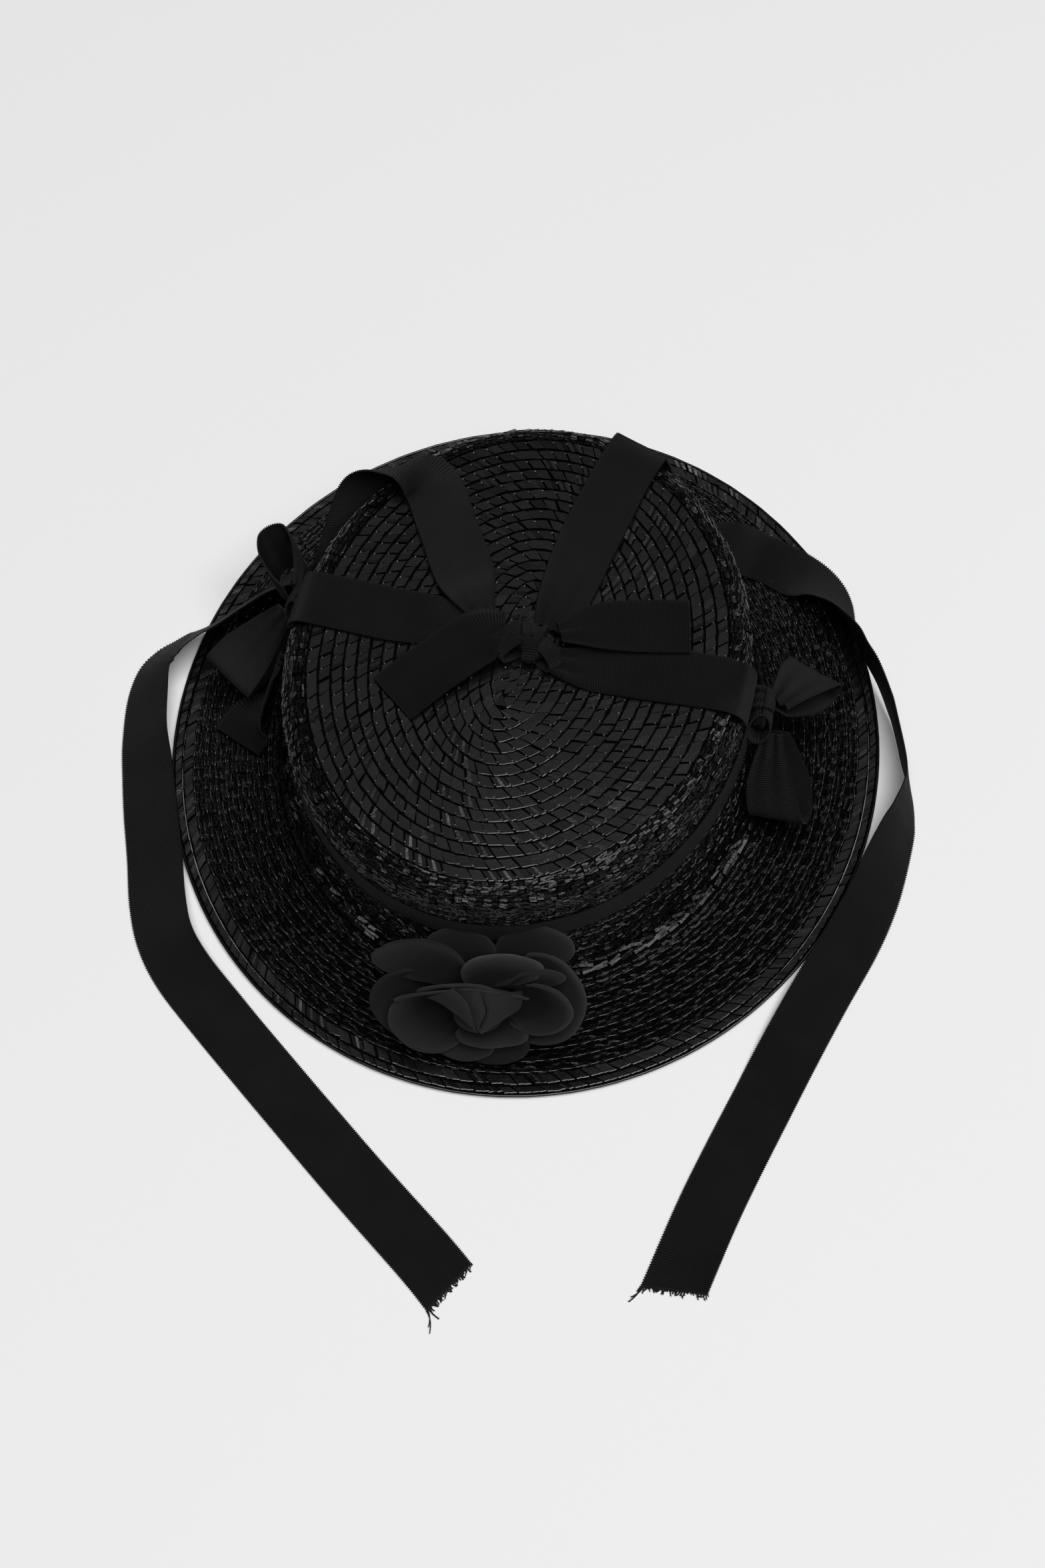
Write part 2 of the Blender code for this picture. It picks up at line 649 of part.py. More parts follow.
def main():
    clear_scene()
    make_crown()
    make_brim()
    make_brim_edge()
    make_hat_band()
    make_ribbon("arm_left", ARM_LEFT)
    make_ribbon("arm_right", ARM_RIGHT)
    make_ribbon("tie_left", TIE_LEFT)
    make_ribbon("tie_right", TIE_RIGHT)
    make_ribbon("top_tail_left", TOP_TAIL_LEFT)
    make_ribbon("top_tail_right", TOP_TAIL_RIGHT)
    make_ribbon("left_tail", LEFT_TAIL)
    make_knots()
    for loop in LOOPS:
        make_loop(*loop)
    make_flower()
    centre_on_origin()


main()
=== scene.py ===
"""Looks of the boater hat: sewn straw braid, grosgrain ribbons, side bows, chin ties and a cloth flower."""
import random
from math import asin, atan2, ceil, copysign, cos, degrees, exp, pi, radians, sin, sqrt

import bmesh
import bpy
from mathutils import Matrix, Vector, noise


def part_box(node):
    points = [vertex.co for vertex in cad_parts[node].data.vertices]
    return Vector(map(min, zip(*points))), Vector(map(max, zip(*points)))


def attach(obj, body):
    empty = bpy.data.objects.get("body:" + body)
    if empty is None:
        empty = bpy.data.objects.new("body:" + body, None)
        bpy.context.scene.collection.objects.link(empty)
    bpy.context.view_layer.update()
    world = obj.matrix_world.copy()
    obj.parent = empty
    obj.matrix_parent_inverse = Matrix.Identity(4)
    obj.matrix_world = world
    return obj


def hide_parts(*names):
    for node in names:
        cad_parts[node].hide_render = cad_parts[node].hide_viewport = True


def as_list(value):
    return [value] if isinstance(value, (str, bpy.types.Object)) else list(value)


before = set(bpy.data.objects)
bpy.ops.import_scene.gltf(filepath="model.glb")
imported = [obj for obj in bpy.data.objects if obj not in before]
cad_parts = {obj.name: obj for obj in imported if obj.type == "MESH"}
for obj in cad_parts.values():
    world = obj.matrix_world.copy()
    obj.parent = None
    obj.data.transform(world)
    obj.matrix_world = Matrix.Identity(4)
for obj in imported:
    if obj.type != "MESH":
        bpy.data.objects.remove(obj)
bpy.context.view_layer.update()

# All lengths are in metres and all angles in degrees. The hat's middle is the middle of its rolled edge.
edge_low, edge_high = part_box("brim_edge")
HAT = Vector(((edge_low.x + edge_high.x) / 2, (edge_low.y + edge_high.y) / 2, 0))
UP = Vector((0, 0, 1))

# Brim
BRIM_HALF_WIDTH = 0.148
BRIM_HALF_LENGTH = 0.159
BRIM_WIDTH = 0.0495
BRIM_RISE = 0.0065
BRIM_LIFT = 0.0004
EDGE_WIDTH = 0.0042
EDGE_THICKNESS = 0.0028
EDGE_CORD = 0.0012
EDGE_SHARE = 0.85

# Crown
CROWN_HALF_WIDTH = 0.0915
CROWN_HALF_LENGTH = 0.111
CROWN_HEIGHT = 0.074
CROWN_SHIFT = -0.0034
SHOULDER_RADIUS = 0.0095
STRAW_THICKNESS = 0.002
CROWN_FOOT = BRIM_LIFT + STRAW_THICKNESS + BRIM_RISE
FOOT_SHARE = CROWN_FOOT / CROWN_HEIGHT
FLAT_HALF_WIDTH = CROWN_HALF_WIDTH - SHOULDER_RADIUS
FLAT_HALF_LENGTH = CROWN_HALF_LENGTH - SHOULDER_RADIUS

# Ribbon
RIBBON_WIDTH = 0.0245
RIBBON_THICKNESS = 0.001
CLOTH_THICKNESS = 0.0005
BAND_FOOT = 0.0385
BAND_WIDTH = 0.015
BAND_RIB_LEAN = 0.008
GAP = 0.0003
REST_GAP = 0.0005
RIB_PITCH = 0.00088
RIB_DEPTH = 0.00019
PICOT_DEPTH = 0.0006
RIBBON_COLUMNS = 12
PLEATS = 2.5
PLEAT_DEPTH = 0.0011
PLEAT_FADE = 0.016
CUT_FADE = 0.02
RIPPLE = 0.0004
UV_SCALE = 50
STATION_STEPS = 12
FRAY_LENGTH = 0.0026
TUFT_LENGTH = 0.006
TUFT_START = 0.78
FRAY_ROOT = 0.001
FRAY_THREADS = 52
FRAY_STEPS = 5
THREAD = 0.0005

# Knots and bows
TOP_KNOT_LENGTH = 0.025
TOP_KNOT_WIDTH = 0.017
TOP_KNOT_HEIGHT = 0.01
TOP_KNOT_SIDE = 0.005
TOP_KNOT_BACK = 0.0015
TOP_KNOT_TURN = -30
SIDE_KNOT_LENGTH = 0.019
SIDE_KNOT_DEPTH = 0.009
SIDE_KNOT_HEIGHT = 0.02
SIDE_KNOT_TURNS = {"left": 174, "right": 5}
KNOT_ROUNDING = 0.41
KNOT_CORE = 0.34
KNOT_UV_SCALE = 45
WRAP_RIPPLE = 0.0012
WRAP_CREASE = 0.001
WRAP_STEPS = 72
LOOP_LENGTH = 0.037
LOOP_OPENING = 0.013
LOOP_STEPS = 8

# Flower
FLOWER_HALF_WIDTH = 0.043
FLOWER_HALF_DEPTH = 0.0295
FLOWER_HEIGHT = 0.019
FLOWER_SIZE = Vector((FLOWER_HALF_WIDTH, FLOWER_HALF_DEPTH, FLOWER_HEIGHT))
FLOWER_SIDE = 0.014
FLOWER_SETBACK = 0.0034
FLOWER_SINK = 0.0021
FLOWER_LEAN = 44
PETAL_THICKNESS = 0.0007

# Straw braid: pitch of its rows, length of a cell along a row, the slit between two splints, a splint's
# thickness, its folded edge, how far a slit slants across a row of the top, the brim and the edge, how far
# a cell turns and shifts, and how deep the backing lies under the splints
CROWN_PITCH = 0.0049
BRIM_PITCH = 0.0045
CELL_LENGTH = 0.0056
SLIT = 0.0005
SPLINT_THICKNESS = 0.0005
FOLD_WIDTH = 0.0003
FOLD_DROP = 0.00017
SPECK_SIZE = (0.001, 0.0007, 0.0006)
TOP_SLANT = 0.0034
BRIM_SLANT = 0.0048
EDGE_SLANT = 0.0056
CELL_TURN = 3.6
CELL_SHIFT = 0.0001
WALL_LEAN = 6
MIDDLE_ROOM = 0.0025
SLOPE_STEP = 0.02
BACKING_SINK = 0.0009
BACKING_THICKNESS = 0.001
ROUND = 96

# Crown wall, a row for each section: share of the height, of the half width and of the half length
WALL_ROWS = (
    (1 - SHOULDER_RADIUS / CROWN_HEIGHT, 1, 1),
    (0.85, 0.992, 0.988),
    (0.52, 1.006, 0.972),
    (0.3, 1.028, 0.974),
    (0.19, 1.052, 0.98),
)

# Brim section: share of the width out from the wall, and of the rise
BRIM_ROWS = (
    (0, 1), (0.02, 1), (0.06, 0.66), (0.13, 0.4),
    (0.35, 0.24), (0.7, 0.1), (1, 0),
)

# A bow's loop from its side: shares of its length out from the knot, its opening and the ribbon's width
LOOP_ROWS = (
    (0, 0.16, 0.38), (0.22, 0.36, 0.6), (0.55, 0.5, 0.9),
    (0.85, 0.42, 1), (0.98, 0.18, 1), (0.98, -0.18, 1),
    (0.85, -0.42, 1), (0.55, -0.5, 0.9), (0.22, -0.36, 0.6),
    (0, -0.16, 0.38),
)

# A ribbon's stations: where it lies, two places there, lift as a share of the ribbon's width, and, where it
# isn't flat and of its whole width, roll in degrees and its width there as a share.
# "top" gives shares of the crown's half width and half length, "side" an angle in degrees and a share of
# the crown's height, "brim" an angle and a share of the brim's width, "table" shares of the brim's half
# width and half length.
ARM_LEFT = (
    ("top", (-0.25, 0.026, 0.041, 0, 0.5), (-0.38, 0.036, 0.012, 0, 0.9), (-0.56, 0.022, 0.012),
     (-0.8, 0.02, 0.012)),
    ("side", (179, 1, 0.024), (179, 0.955, 0.024, 0, 0.98), (179, 0.885, 0.016, 0, 0.9)),
)
ARM_RIGHT = (
    ("top", (0.16, -0.026, 0.049, 0, 0.45), (0.32, -0.02, 0.012, 0, 0.8), (0.52, 0.01, 0.012),
     (0.82, 0.035, 0.012)),
    ("side", (2, 1, 0.024), (2, 0.955, 0.024, 0, 0.98), (2, 0.885, 0.016, 0, 0.9)),
)
TOP_TAIL_LEFT = (
    ("top", (-0.062, 0.024, 0.22, 0, 0.7), (-0.16, -0.01, 0.22), (-0.32, -0.16, 0.122),
     (-0.455, -0.31, 0.016)),
)
TOP_TAIL_RIGHT = (
    ("top", (0.16, 0.076, 0.188, 0, 0.45), (0.29, 0.13, 0.163, 0, 0.85), (0.45, 0.175, 0.114),
     (0.69, 0.225, 0.086)),
)
TIE_LEFT = (
    ("top", (-0.185, 0.09, 0.139, 0, 0.45), (-0.26, 0.168, 0.122, 0, 0.8), (-0.325, 0.25, 0.065),
     (-0.46, 0.43, 0.05), (-0.6, 0.595, 0.06)),
    ("side", (141, 0.995, 0.11, 14), (146, 0.88, 0.25, 26), (151.5, 0.63, 0.33, 30),
     (157, 0.35, 0.347, 34)),
    ("brim", (160, 0.44, 0.041, 44), (165.8, 0.598, 0.024, 56), (170.7, 0.73, 0.016, 58),
     (175.2, 0.876, 0.008, 58), (177.8, 1.006, 0, 54)),
    ("table", (-1.038, 0.005, 0.049, 48), (-1.066, -0.026, 0.012, 44), (-1.085, -0.07, 0, 44),
     (-1.076, -0.151, 0, 37), (-1.047, -0.25, 0, 33), (-1.007, -0.345, 0, 24), (-0.954, -0.466, 0, 18),
     (-0.9, -0.582, 0, 14), (-0.852, -0.693, 0, 14), (-0.796, -0.786, 0, 16), (-0.718, -0.862, 0, 11),
     (-0.59, -0.95, 0, 4), (-0.43, -1.055, 0), (-0.12, -1.255, 0), (0.115, -1.4, 0), (0.2, -1.457, 0)),
)
TIE_RIGHT = (
    ("top", (0.1, 0.096, 0.065, 0, 0.5), (0.128, 0.21, 0.082, 0, 0.85), (0.16, 0.48, 0.049),
     (0.22, 0.78, 0.049), (0.265, 0.93, 0.049)),
    ("side", (74, 0.96, 0.041), (72.5, 0.8, 0.082), (69, 0.45, 0.122, 4), (64, 0.22, 0.408, 26)),
    ("brim", (56.7, 0.445, 0.163, 8), (51.9, 0.625, 0.049), (46.2, 0.765, 0.041), (41.5, 0.84, 0.033, -16),
     (36.5, 0.865, 0.024, -46), (32.2, 0.88, 0.016, -70), (28.6, 0.92, 0.012, -80),
     (25.4, 0.954, 0.012, -80), (22.4, 0.996, 0.012, -82)),
    ("table", (0.965, 0.32, 0.065, -82), (0.998, 0.264, 0.012, -82), (1.042, 0.158, 0, -82),
     (1.074, 0.075, 0, -76), (1.078, 0, 0, -62), (1.07, -0.06, 0, -50), (1.057, -0.148, 0, -39),
     (1.04, -0.25, 0, -29), (1.011, -0.36, 0, -20), (0.962, -0.51, 0, -13), (0.918, -0.655, 0, -7),
     (0.87, -0.83, 0), (0.8, -1.1, 0), (0.754, -1.332, 0)),
)
LEFT_TAIL = (
    ("side", (184.5, 0.52, 0.306, 0, 0.35), (185.5, 0.4, 0.408, 0, 0.45), (189, 0.25, 0.49, 0, 0.8)),
    ("brim", (191.5, 0.33, 0.131, 12), (195.1, 0.438, -0.008, 8)),
)
# How far a ribbon's cut end slants, as a share of its width
CUTS = {"tie_left": 0.14, "tie_right": 0.32}

# Bow loops: name, knot it leaves, heading, pitch and roll in degrees, share of the loop's length and of its
# opening, and share of the knot's depth that the loop stands out from the wall
LOOPS = (
    ("left_loop_back", "left", 118, -20, 76, 0.9, 1.15, 0.35),
    ("left_loop_front", "left", 226, -42, -26, 1.08, 1, 0.35),
    ("right_loop_back", "right", 66, -30, -6, 0.95, 0.9, 0.35),
    ("right_loop_front", "right", -68, -48, 40, 1.02, 1, 0.6),
)

# Turns of ribbon round the top knot: place beside its middle, turn and tip in degrees, half size across and
# up, width, and how much narrower it is pulled at the front
TOP_WRAPS = (
    (0, 0, 0, -86, 0, 0.0075, 0.0045, 0.0108, 0.5),
    (-0.007, -0.001, -0.001, -128, 12, 0.0085, 0.0036, 0.012, 0.2),
    (0.006, -0.003, -0.0012, -40, -14, 0.0066, 0.0034, 0.0096, 0.25),
)
# Turns round a side knot: place along the wall and up, tip in degrees, half size out and up, width, pull
SIDE_WRAPS = (
    (0.0034, 0.001, 14, 0.0042, 0.0082, 0.0105, 0.25),
    (-0.0044, -0.0018, -16, 0.0038, 0.0076, 0.0088, 0.3),
)

# Petals: name, node without its first word, middle and half size of the rim's arc as shares of the
# flower's half width and half depth, the arc's two angles, the rim's height at its start, middle and end as
# shares of the flower's height, where the petal's root lies as a share of the way out, the root's height,
# how much it bulges, and the rim's curl
PETALS = (
    ("under_front", "outer_6", 0.13, -0.56, 0.38, 0.42, 205, 345, 0.1, 0.14, 0.1, 0.3, -0.06, 0.03, 50),
    ("under_back", "outer_2", -0.15, 0.56, 0.4, 0.42, 155, 15, 0.22, 0.3, 0.24, 0.1, -0.08, 0.05, 60),
    ("back_right", "outer_1", 0.58, 0.6, 0.39, 0.4, 175, -15, 0.16, 0.26, 0.2, 0.1, -0.08, 0.02, 90),
    ("back_left", "outer_3", -0.55, 0.48, 0.45, 0.37, 190, 5, 0.38, 0.52, 0.4, 0.08, -0.05, 0.1, 190),
    ("front_left", "outer_5", -0.13, -0.56, 0.31, 0.31, 195, 345, 0.24, 0.28, 0.24, 0.4, 0, 0.04, 70),
    ("big_right", "outer_1", 0.45, -0.02, 0.54, 0.72, 78, -88, 0.46, 0.44, 0.24, 0.3, -0.1, -0.1, 110),
    ("big_left", "outer_4", -0.35, -0.06, 0.61, 0.6, 120, 262, 0.56, 0.54, 0.26, 0.3, -0.1, -0.12, 110),
    ("twill_back", "middle_1", 0.33, 0.34, 0.43, 0.36, 185, 10, 0.56, 0.74, 0.6, 0.05, -0.05, 0.16, 90),
    ("small_rim", "middle_1", 0.63, 0.26, 0.26, 0.19, 175, 0, 0.62, 0.68, 0.56, 0.2, 0, 0.06, 170),
    ("cup_right", "middle_4", 0.5, -0.1, 0.36, 0.36, 78, -115, 0.74, 0.72, 0.5, 0.4, 0, -0.16, 140),
    ("cup_left", "middle_3", -0.36, -0.22, 0.39, 0.48, 140, 295, 0.8, 0.74, 0.48, 0.4, 0, -0.16, 140),
    ("cup_back", "middle_2", -0.06, 0, 0.68, 0.2, 172, 28, 0.86, 0.88, 0.92, 0.45, 0.1, 0, 120),
    ("cup_inner_back", "inner_1", -0.13, 0.12, 0.38, 0.15, 165, 15, 0.82, 0.88, 0.84, 0.5, 0.1, 0, 120),
    ("cup_front", "inner_2", 0.14, -0.42, 0.36, 0.18, 200, 340, 0.5, 0.52, 0.5, 0.45, 0.05, 0, 110),
)
# Folded flaps of the heart: name, node, outer edge and inner edge, each point as shares of the flower's
# half width, half depth and height
FLAPS = (
    ("heart_left", "petal_inner_2",
     ((-0.39, -0.05, 0.66), (-0.26, -0.12, 0.72), (-0.06, -0.32, 0.8), (0.04, -0.5, 0.74)),
     ((-0.14, 0.1, 0.86), (-0.03, 0, 0.93), (0.01, -0.16, 0.95), (0.04, -0.44, 0.82))),
    ("heart_middle", "flower_bud",
     ((-0.14, 0.09, 0.8), (-0.02, -0.08, 0.88), (0.03, -0.28, 0.9), (0.06, -0.46, 0.8)),
     ((0.09, 0.08, 0.92), (0.11, -0.05, 0.98), (0.13, -0.18, 1), (0.07, -0.36, 0.9))),
    ("heart_right", "petal_inner_3",
     ((0.44, 0.04, 0.68), (0.42, -0.16, 0.72), (0.3, -0.28, 0.76), (0.07, -0.51, 0.74)),
     ((0.09, 0.07, 0.92), (0.13, -0.06, 0.98), (0.15, -0.19, 0.99), (0.07, -0.42, 0.86))),
)
FLOWER_TURN = 14
FLOWER_SHIFT = -0.0014
FLOWER_RAISE = 0.0026
FLOWER_SPREAD = 1.05
PETAL_ROLL = 0.0012
PETAL_ROWS = 22
PETAL_COLUMNS = 36
PETAL_UV_LENGTH = 3
PETAL_UV_WIDTH = 4.3
RIM_TAPER = 0.22
RIM_WAVE = 0.03
CREASE_DEPTH = 0.02
FLAP_ROWS = 14
FLAP_COLUMNS = 24
# Where the flaps lie on the petals' flat cloth: its start and its length along the petal, and its width.
# The start also sets how much of the petals' painted shade falls on the flaps.
FLAP_UV = (0.68, 0.29, 2)
# Painted shade on the petals' cloth: darker towards the root, where the petals lie under others, and
# lightest at the rim, painted light where it curls up: place along the petal, and shade
PETAL_PAINTED_SHADE = ((0, 0.03), (0.48, 0.08), (0.78, 0.4), (0.93, 0.6), (0.97, 1))
# Petals painted darker or paler than the others: shaded and lit copies of the same cloth, painted shade and
# painted light
PETAL_PAINTED_LIGHT = {"big_left": "dark_cloth", "under_front": "dark_cloth", "twill_back": "pale_cloth"}
HEART_RAISE = 0.0045
ROLL_START = 0.88
BUD_SHARE = 0.26
BUD_HEIGHT_SHARE = 0.27
BUD_RISE = 0.7

# Camera and lights, measured from the hat's middle: each light's name, place, width, depth and power
CAMERA_PLACE = Vector((0.107, -0.4204, 0.8108))
CAMERA_AIM = Vector((0.0035, -0.0205, 0))
CAMERA_LENS = 50
CAMERA_SENSOR = 36
LIGHTS = (
    ("overhead_light", (1.15, -0.85, 5.4), 4.8, 4.1, 345),
    ("back_panel", (-0.3, 0.88, 1.9), 1.3, 0.85, 0.9),
)
AIR_COLOUR = (0.96, 0.97, 1, 1)
AIR_STRENGTH = 0.04
FLOOR_SIZE = 8

# Kinds of braid cell: for each splint its share of the cell and its tips along and across the row in
# degrees, then whether a speck of crossing straw lies in the slit
FLAT_KINDS = (
    (((1, 0, 0),), False),
    (((1, 0, 0),), True),
    (((0.56, 2, 1), (0.4, -3, -2)), True),
    (((0.36, 5, 2), (0.28, -4, -3), (0.36, 3, 3)), True),
)
DIAGONAL_KINDS = (
    (((0.5, 1.5, 0), (0.5, -1.5, 0)), False),
    (((0.56, -2, 1), (0.44, 2, -1)), False),
    (((0.36, 4, 2), (0.28, -5, -3), (0.36, 3, 3)), False),
)
# How often each kind of cell is drawn
FLAT_WEIGHTS = (4, 6, 2, 2)
DIAGONAL_WEIGHTS = (3, 3, 1)

# Straw finishes: name, dark and light dye, roughness, mirror strength, and depth of the crinkles
STRAWS = (
    ("black_straw", (0.002, 0.002, 0.002), (0.005, 0.0048, 0.0045), 0.17, 0.5, 0.00008),
    # Pale dye of the curls in the slits: a painted glint
    ("curl_painted_glint", (0.06, 0.06, 0.06), (0.2, 0.2, 0.19), 0.3, 0.5, 0.00002),
    ("straw_lip", (0.01, 0.0093, 0.0085), (0.026, 0.024, 0.022), 0.22, 0.7, 0.00002),
    ("crinkled_straw", (0.0015, 0.0015, 0.0015), (0.005, 0.005, 0.0054), 0.22, 0.3, 0.0003),
    # Darker copies of the crinkled straw: painted shade on the dark brim rows and on the crown's wall
    ("shaded_straw", (0.001, 0.001, 0.001), (0.003, 0.0028, 0.0026), 0.26, 0.2, 0.0003),
    ("shaded_wall_straw", (0.001, 0.001, 0.001), (0.003, 0.003, 0.003), 0.26, 0.25, 0.0003),
    # The backing's near-black dye is painted shade where it shows between the rows of braid
    ("backing_painted_shade", (0.0008, 0.0008, 0.0008), (0.002, 0.002, 0.002), 0.7, 0.02, 0.0002),
)
# Cloth finishes: name, dark and light dye, where the dark ends, roughness, sheen, and bump
# The grosgrain's dark dye is painted shade in the grooves between its ribs, on top of its own black
GROSGRAIN = ("black_grosgrain", (0.0004, 0.0004, 0.0005), (0.011, 0.011, 0.0114), 0.5, 0.7, 0.02, 0.8)
# The charcoal cloth is the petals' own; the darker copy is painted shade and the paler copy painted light
PETAL_CLOTHS = (
    ("charcoal_cloth", (0.003, 0.003, 0.003), (0.042, 0.042, 0.0414), 0.3, 0.85, 0.03, 1),
    ("dark_cloth", (0.001, 0.001, 0.001), (0.017, 0.017, 0.0168), 0.3, 0.85, 0.01, 1),
    ("pale_cloth", (0.008, 0.008, 0.008), (0.085, 0.085, 0.084), 0.3, 0.85, 0.03, 1),
)
# Pitch of the threads across and along the cloth. On the grosgrain the threads along lie at the rib pitch,
# so their dark bands are painted shade in the grooves between the ribs
GROSGRAIN_THREADS_AND_GROOVE_SHADE = (0.00034, RIB_PITCH)
PETAL_THREADS = (0.0006, 0.0006)
FINE_BUMP = 0.0001

# Ribbons: CAD node, stations, how it is held and what it rests on
RIBBONS = (
    ("arm_left", ARM_LEFT, "laid", ["crown_top_braid"]),
    ("arm_right", ARM_RIGHT, "laid", ["crown_top_braid"]),
    ("tie_left", TIE_LEFT, "draped", ["crown_top_braid", "brim_braid", "studio_floor"]),
    ("tie_right", TIE_RIGHT, "draped", ["crown_top_braid", "brim_braid", "studio_floor"]),
    ("top_tail_left", TOP_TAIL_LEFT, "laid", ["crown_top_braid"]),
    ("top_tail_right", TOP_TAIL_RIGHT, "laid", ["crown_top_braid"]),
    ("left_tail", LEFT_TAIL, "draped", ["brim_braid"]),
)


def pick_only(*objects):
    bpy.ops.object.select_all(action="DESELECT")
    for item in objects:
        item.select_set(True)
    bpy.context.view_layer.objects.active = objects[0]


def added(operator, name, **settings):
    """Adds a primitive and applies its place, turn and scale."""
    operator(**settings)
    item = bpy.context.object
    item.name = name
    bpy.ops.object.transform_apply()
    return item


def linked(name, mesh):
    item = bpy.data.objects.new(name, mesh)
    bpy.context.collection.objects.link(item)
    return item


def joined(name, *parts):
    pick_only(*parts)
    bpy.ops.object.join()
    parts[0].name = name
    return parts[0]


def rotation(angle, axis, size=4):
    return Matrix.Rotation(radians(angle), size, axis)


def levelled(way):
    return Vector((way.x, way.y, 0))


def facing(way):
    """The turn of a camera or a lamp that looks along a direction."""
    return way.to_track_quat("-Z", "Y").to_euler()


def place_camera():
    bpy.ops.object.camera_add(location=HAT + CAMERA_PLACE)
    camera = bpy.context.object
    camera.name = "photo_camera"
    camera.rotation_euler = facing(CAMERA_AIM - CAMERA_PLACE)
    camera.data.lens = CAMERA_LENS
    camera.data.sensor_width = CAMERA_SENSOR
    bpy.context.scene.camera = camera


def light_studio():
    """A wide soft light from above and a dim panel that the flat straw mirrors."""
    for name, place, width, depth, power in LIGHTS:
        bpy.ops.object.light_add(type="AREA", location=HAT + Vector(place))
        lamp = bpy.context.object
        lamp.name = name
        lamp.rotation_euler = facing(-Vector(place))
        lamp.data.shape = "RECTANGLE"
        lamp.data.size = width
        lamp.data.size_y = depth
        lamp.data.energy = power
    world = bpy.data.worlds.new("studio_air")
    world.use_nodes = True
    air = world.node_tree.nodes["Background"]
    air.inputs["Color"].default_value = AIR_COLOUR
    air.inputs["Strength"].default_value = AIR_STRENGTH
    bpy.context.scene.world = world
    bpy.context.scene.view_settings.view_transform = "Standard"


def new_finish(name):
    made = bpy.data.materials.new(name)
    made.use_nodes = True
    return made, made.node_tree, made.node_tree.nodes["Principled BSDF"]


def feed(tree, node, inputs):
    """Sets a node's inputs: an output of another node is linked, and a plain value is written."""
    for key, value in inputs.items():
        if isinstance(value, bpy.types.NodeSocket):
            tree.links.new(value, node.inputs[key])
        else:
            node.inputs[key].default_value = value


def add_node(tree, kind, inputs, output=0, **settings):
    """Adds a shader node and gives back one of its outputs."""
    node = tree.nodes.new("ShaderNode" + kind)
    for key, value in settings.items():
        setattr(node, key, value)
    feed(tree, node, inputs)
    return node.outputs[output]


def add_ramp(tree, source, stops):
    """Turns a value into a colour by stops of place and colour."""
    ramp = tree.nodes.new("ShaderNodeValToRGB")
    elements = ramp.color_ramp.elements
    for place, _ in stops[1:-1]:
        elements.new(place)
    for element, (place, colour) in zip(elements, stops):
        element.position = place
        element.color = (*colour, 1)
    tree.links.new(source, ramp.inputs["Fac"])
    return ramp.outputs["Color"]


def lay_floor():
    floor = added(bpy.ops.mesh.primitive_plane_add, "studio_floor", size=FLOOR_SIZE, location=(0, 0, 0))
    made, tree, shader = new_finish("pale_paper")
    spots = add_node(tree, "TexNoise", {"Scale": 3}, "Fac")
    shade = add_ramp(tree, spots, ((0, (0.87, 0.87, 0.88)), (1, (0.89, 0.89, 0.895))))
    feed(tree, shader, {"Base Color": shade, "Roughness": 0.9, "Specular IOR Level": 0.1})
    floor.data.materials.append(made)


def straw_finish(name, dark, light, gloss, specular, crinkle):
    """Lacquered black straw: each splint a little lighter or darker, with fibres and crinkles."""
    made, tree, shader = new_finish(name)
    place = add_node(tree, "TexCoord", {}, "Object")
    fibre = add_node(tree, "TexNoise", {"Vector": place, "Scale": 1400, "Detail": 3}, "Fac")
    grain = {"Vector": place, "Scale": 520, "Detail": 4, "Distortion": 0.8}
    folds = add_node(tree, "TexNoise", grain, "Fac")
    splint = add_node(tree, "NewGeometry", {}, "Random Per Island")
    tone = add_node(tree, "Math", {0: splint, 1: fibre}, operation="MULTIPLY")
    ridges = add_node(tree, "Bump", {"Strength": 0.3, "Distance": FINE_BUMP, "Height": fibre})
    crinkles = {"Strength": 1, "Distance": crinkle, "Height": folds, "Normal": ridges}
    feed(tree, shader, {
        "Base Color": add_ramp(tree, tone, ((0, dark), (1, light))),
        "Roughness": add_node(tree, "MapRange", {"Value": fibre, "To Min": gloss, "To Max": gloss + 0.1}),
        "Specular IOR Level": specular,
        "Normal": add_node(tree, "Bump", crinkles),
    })
    return made


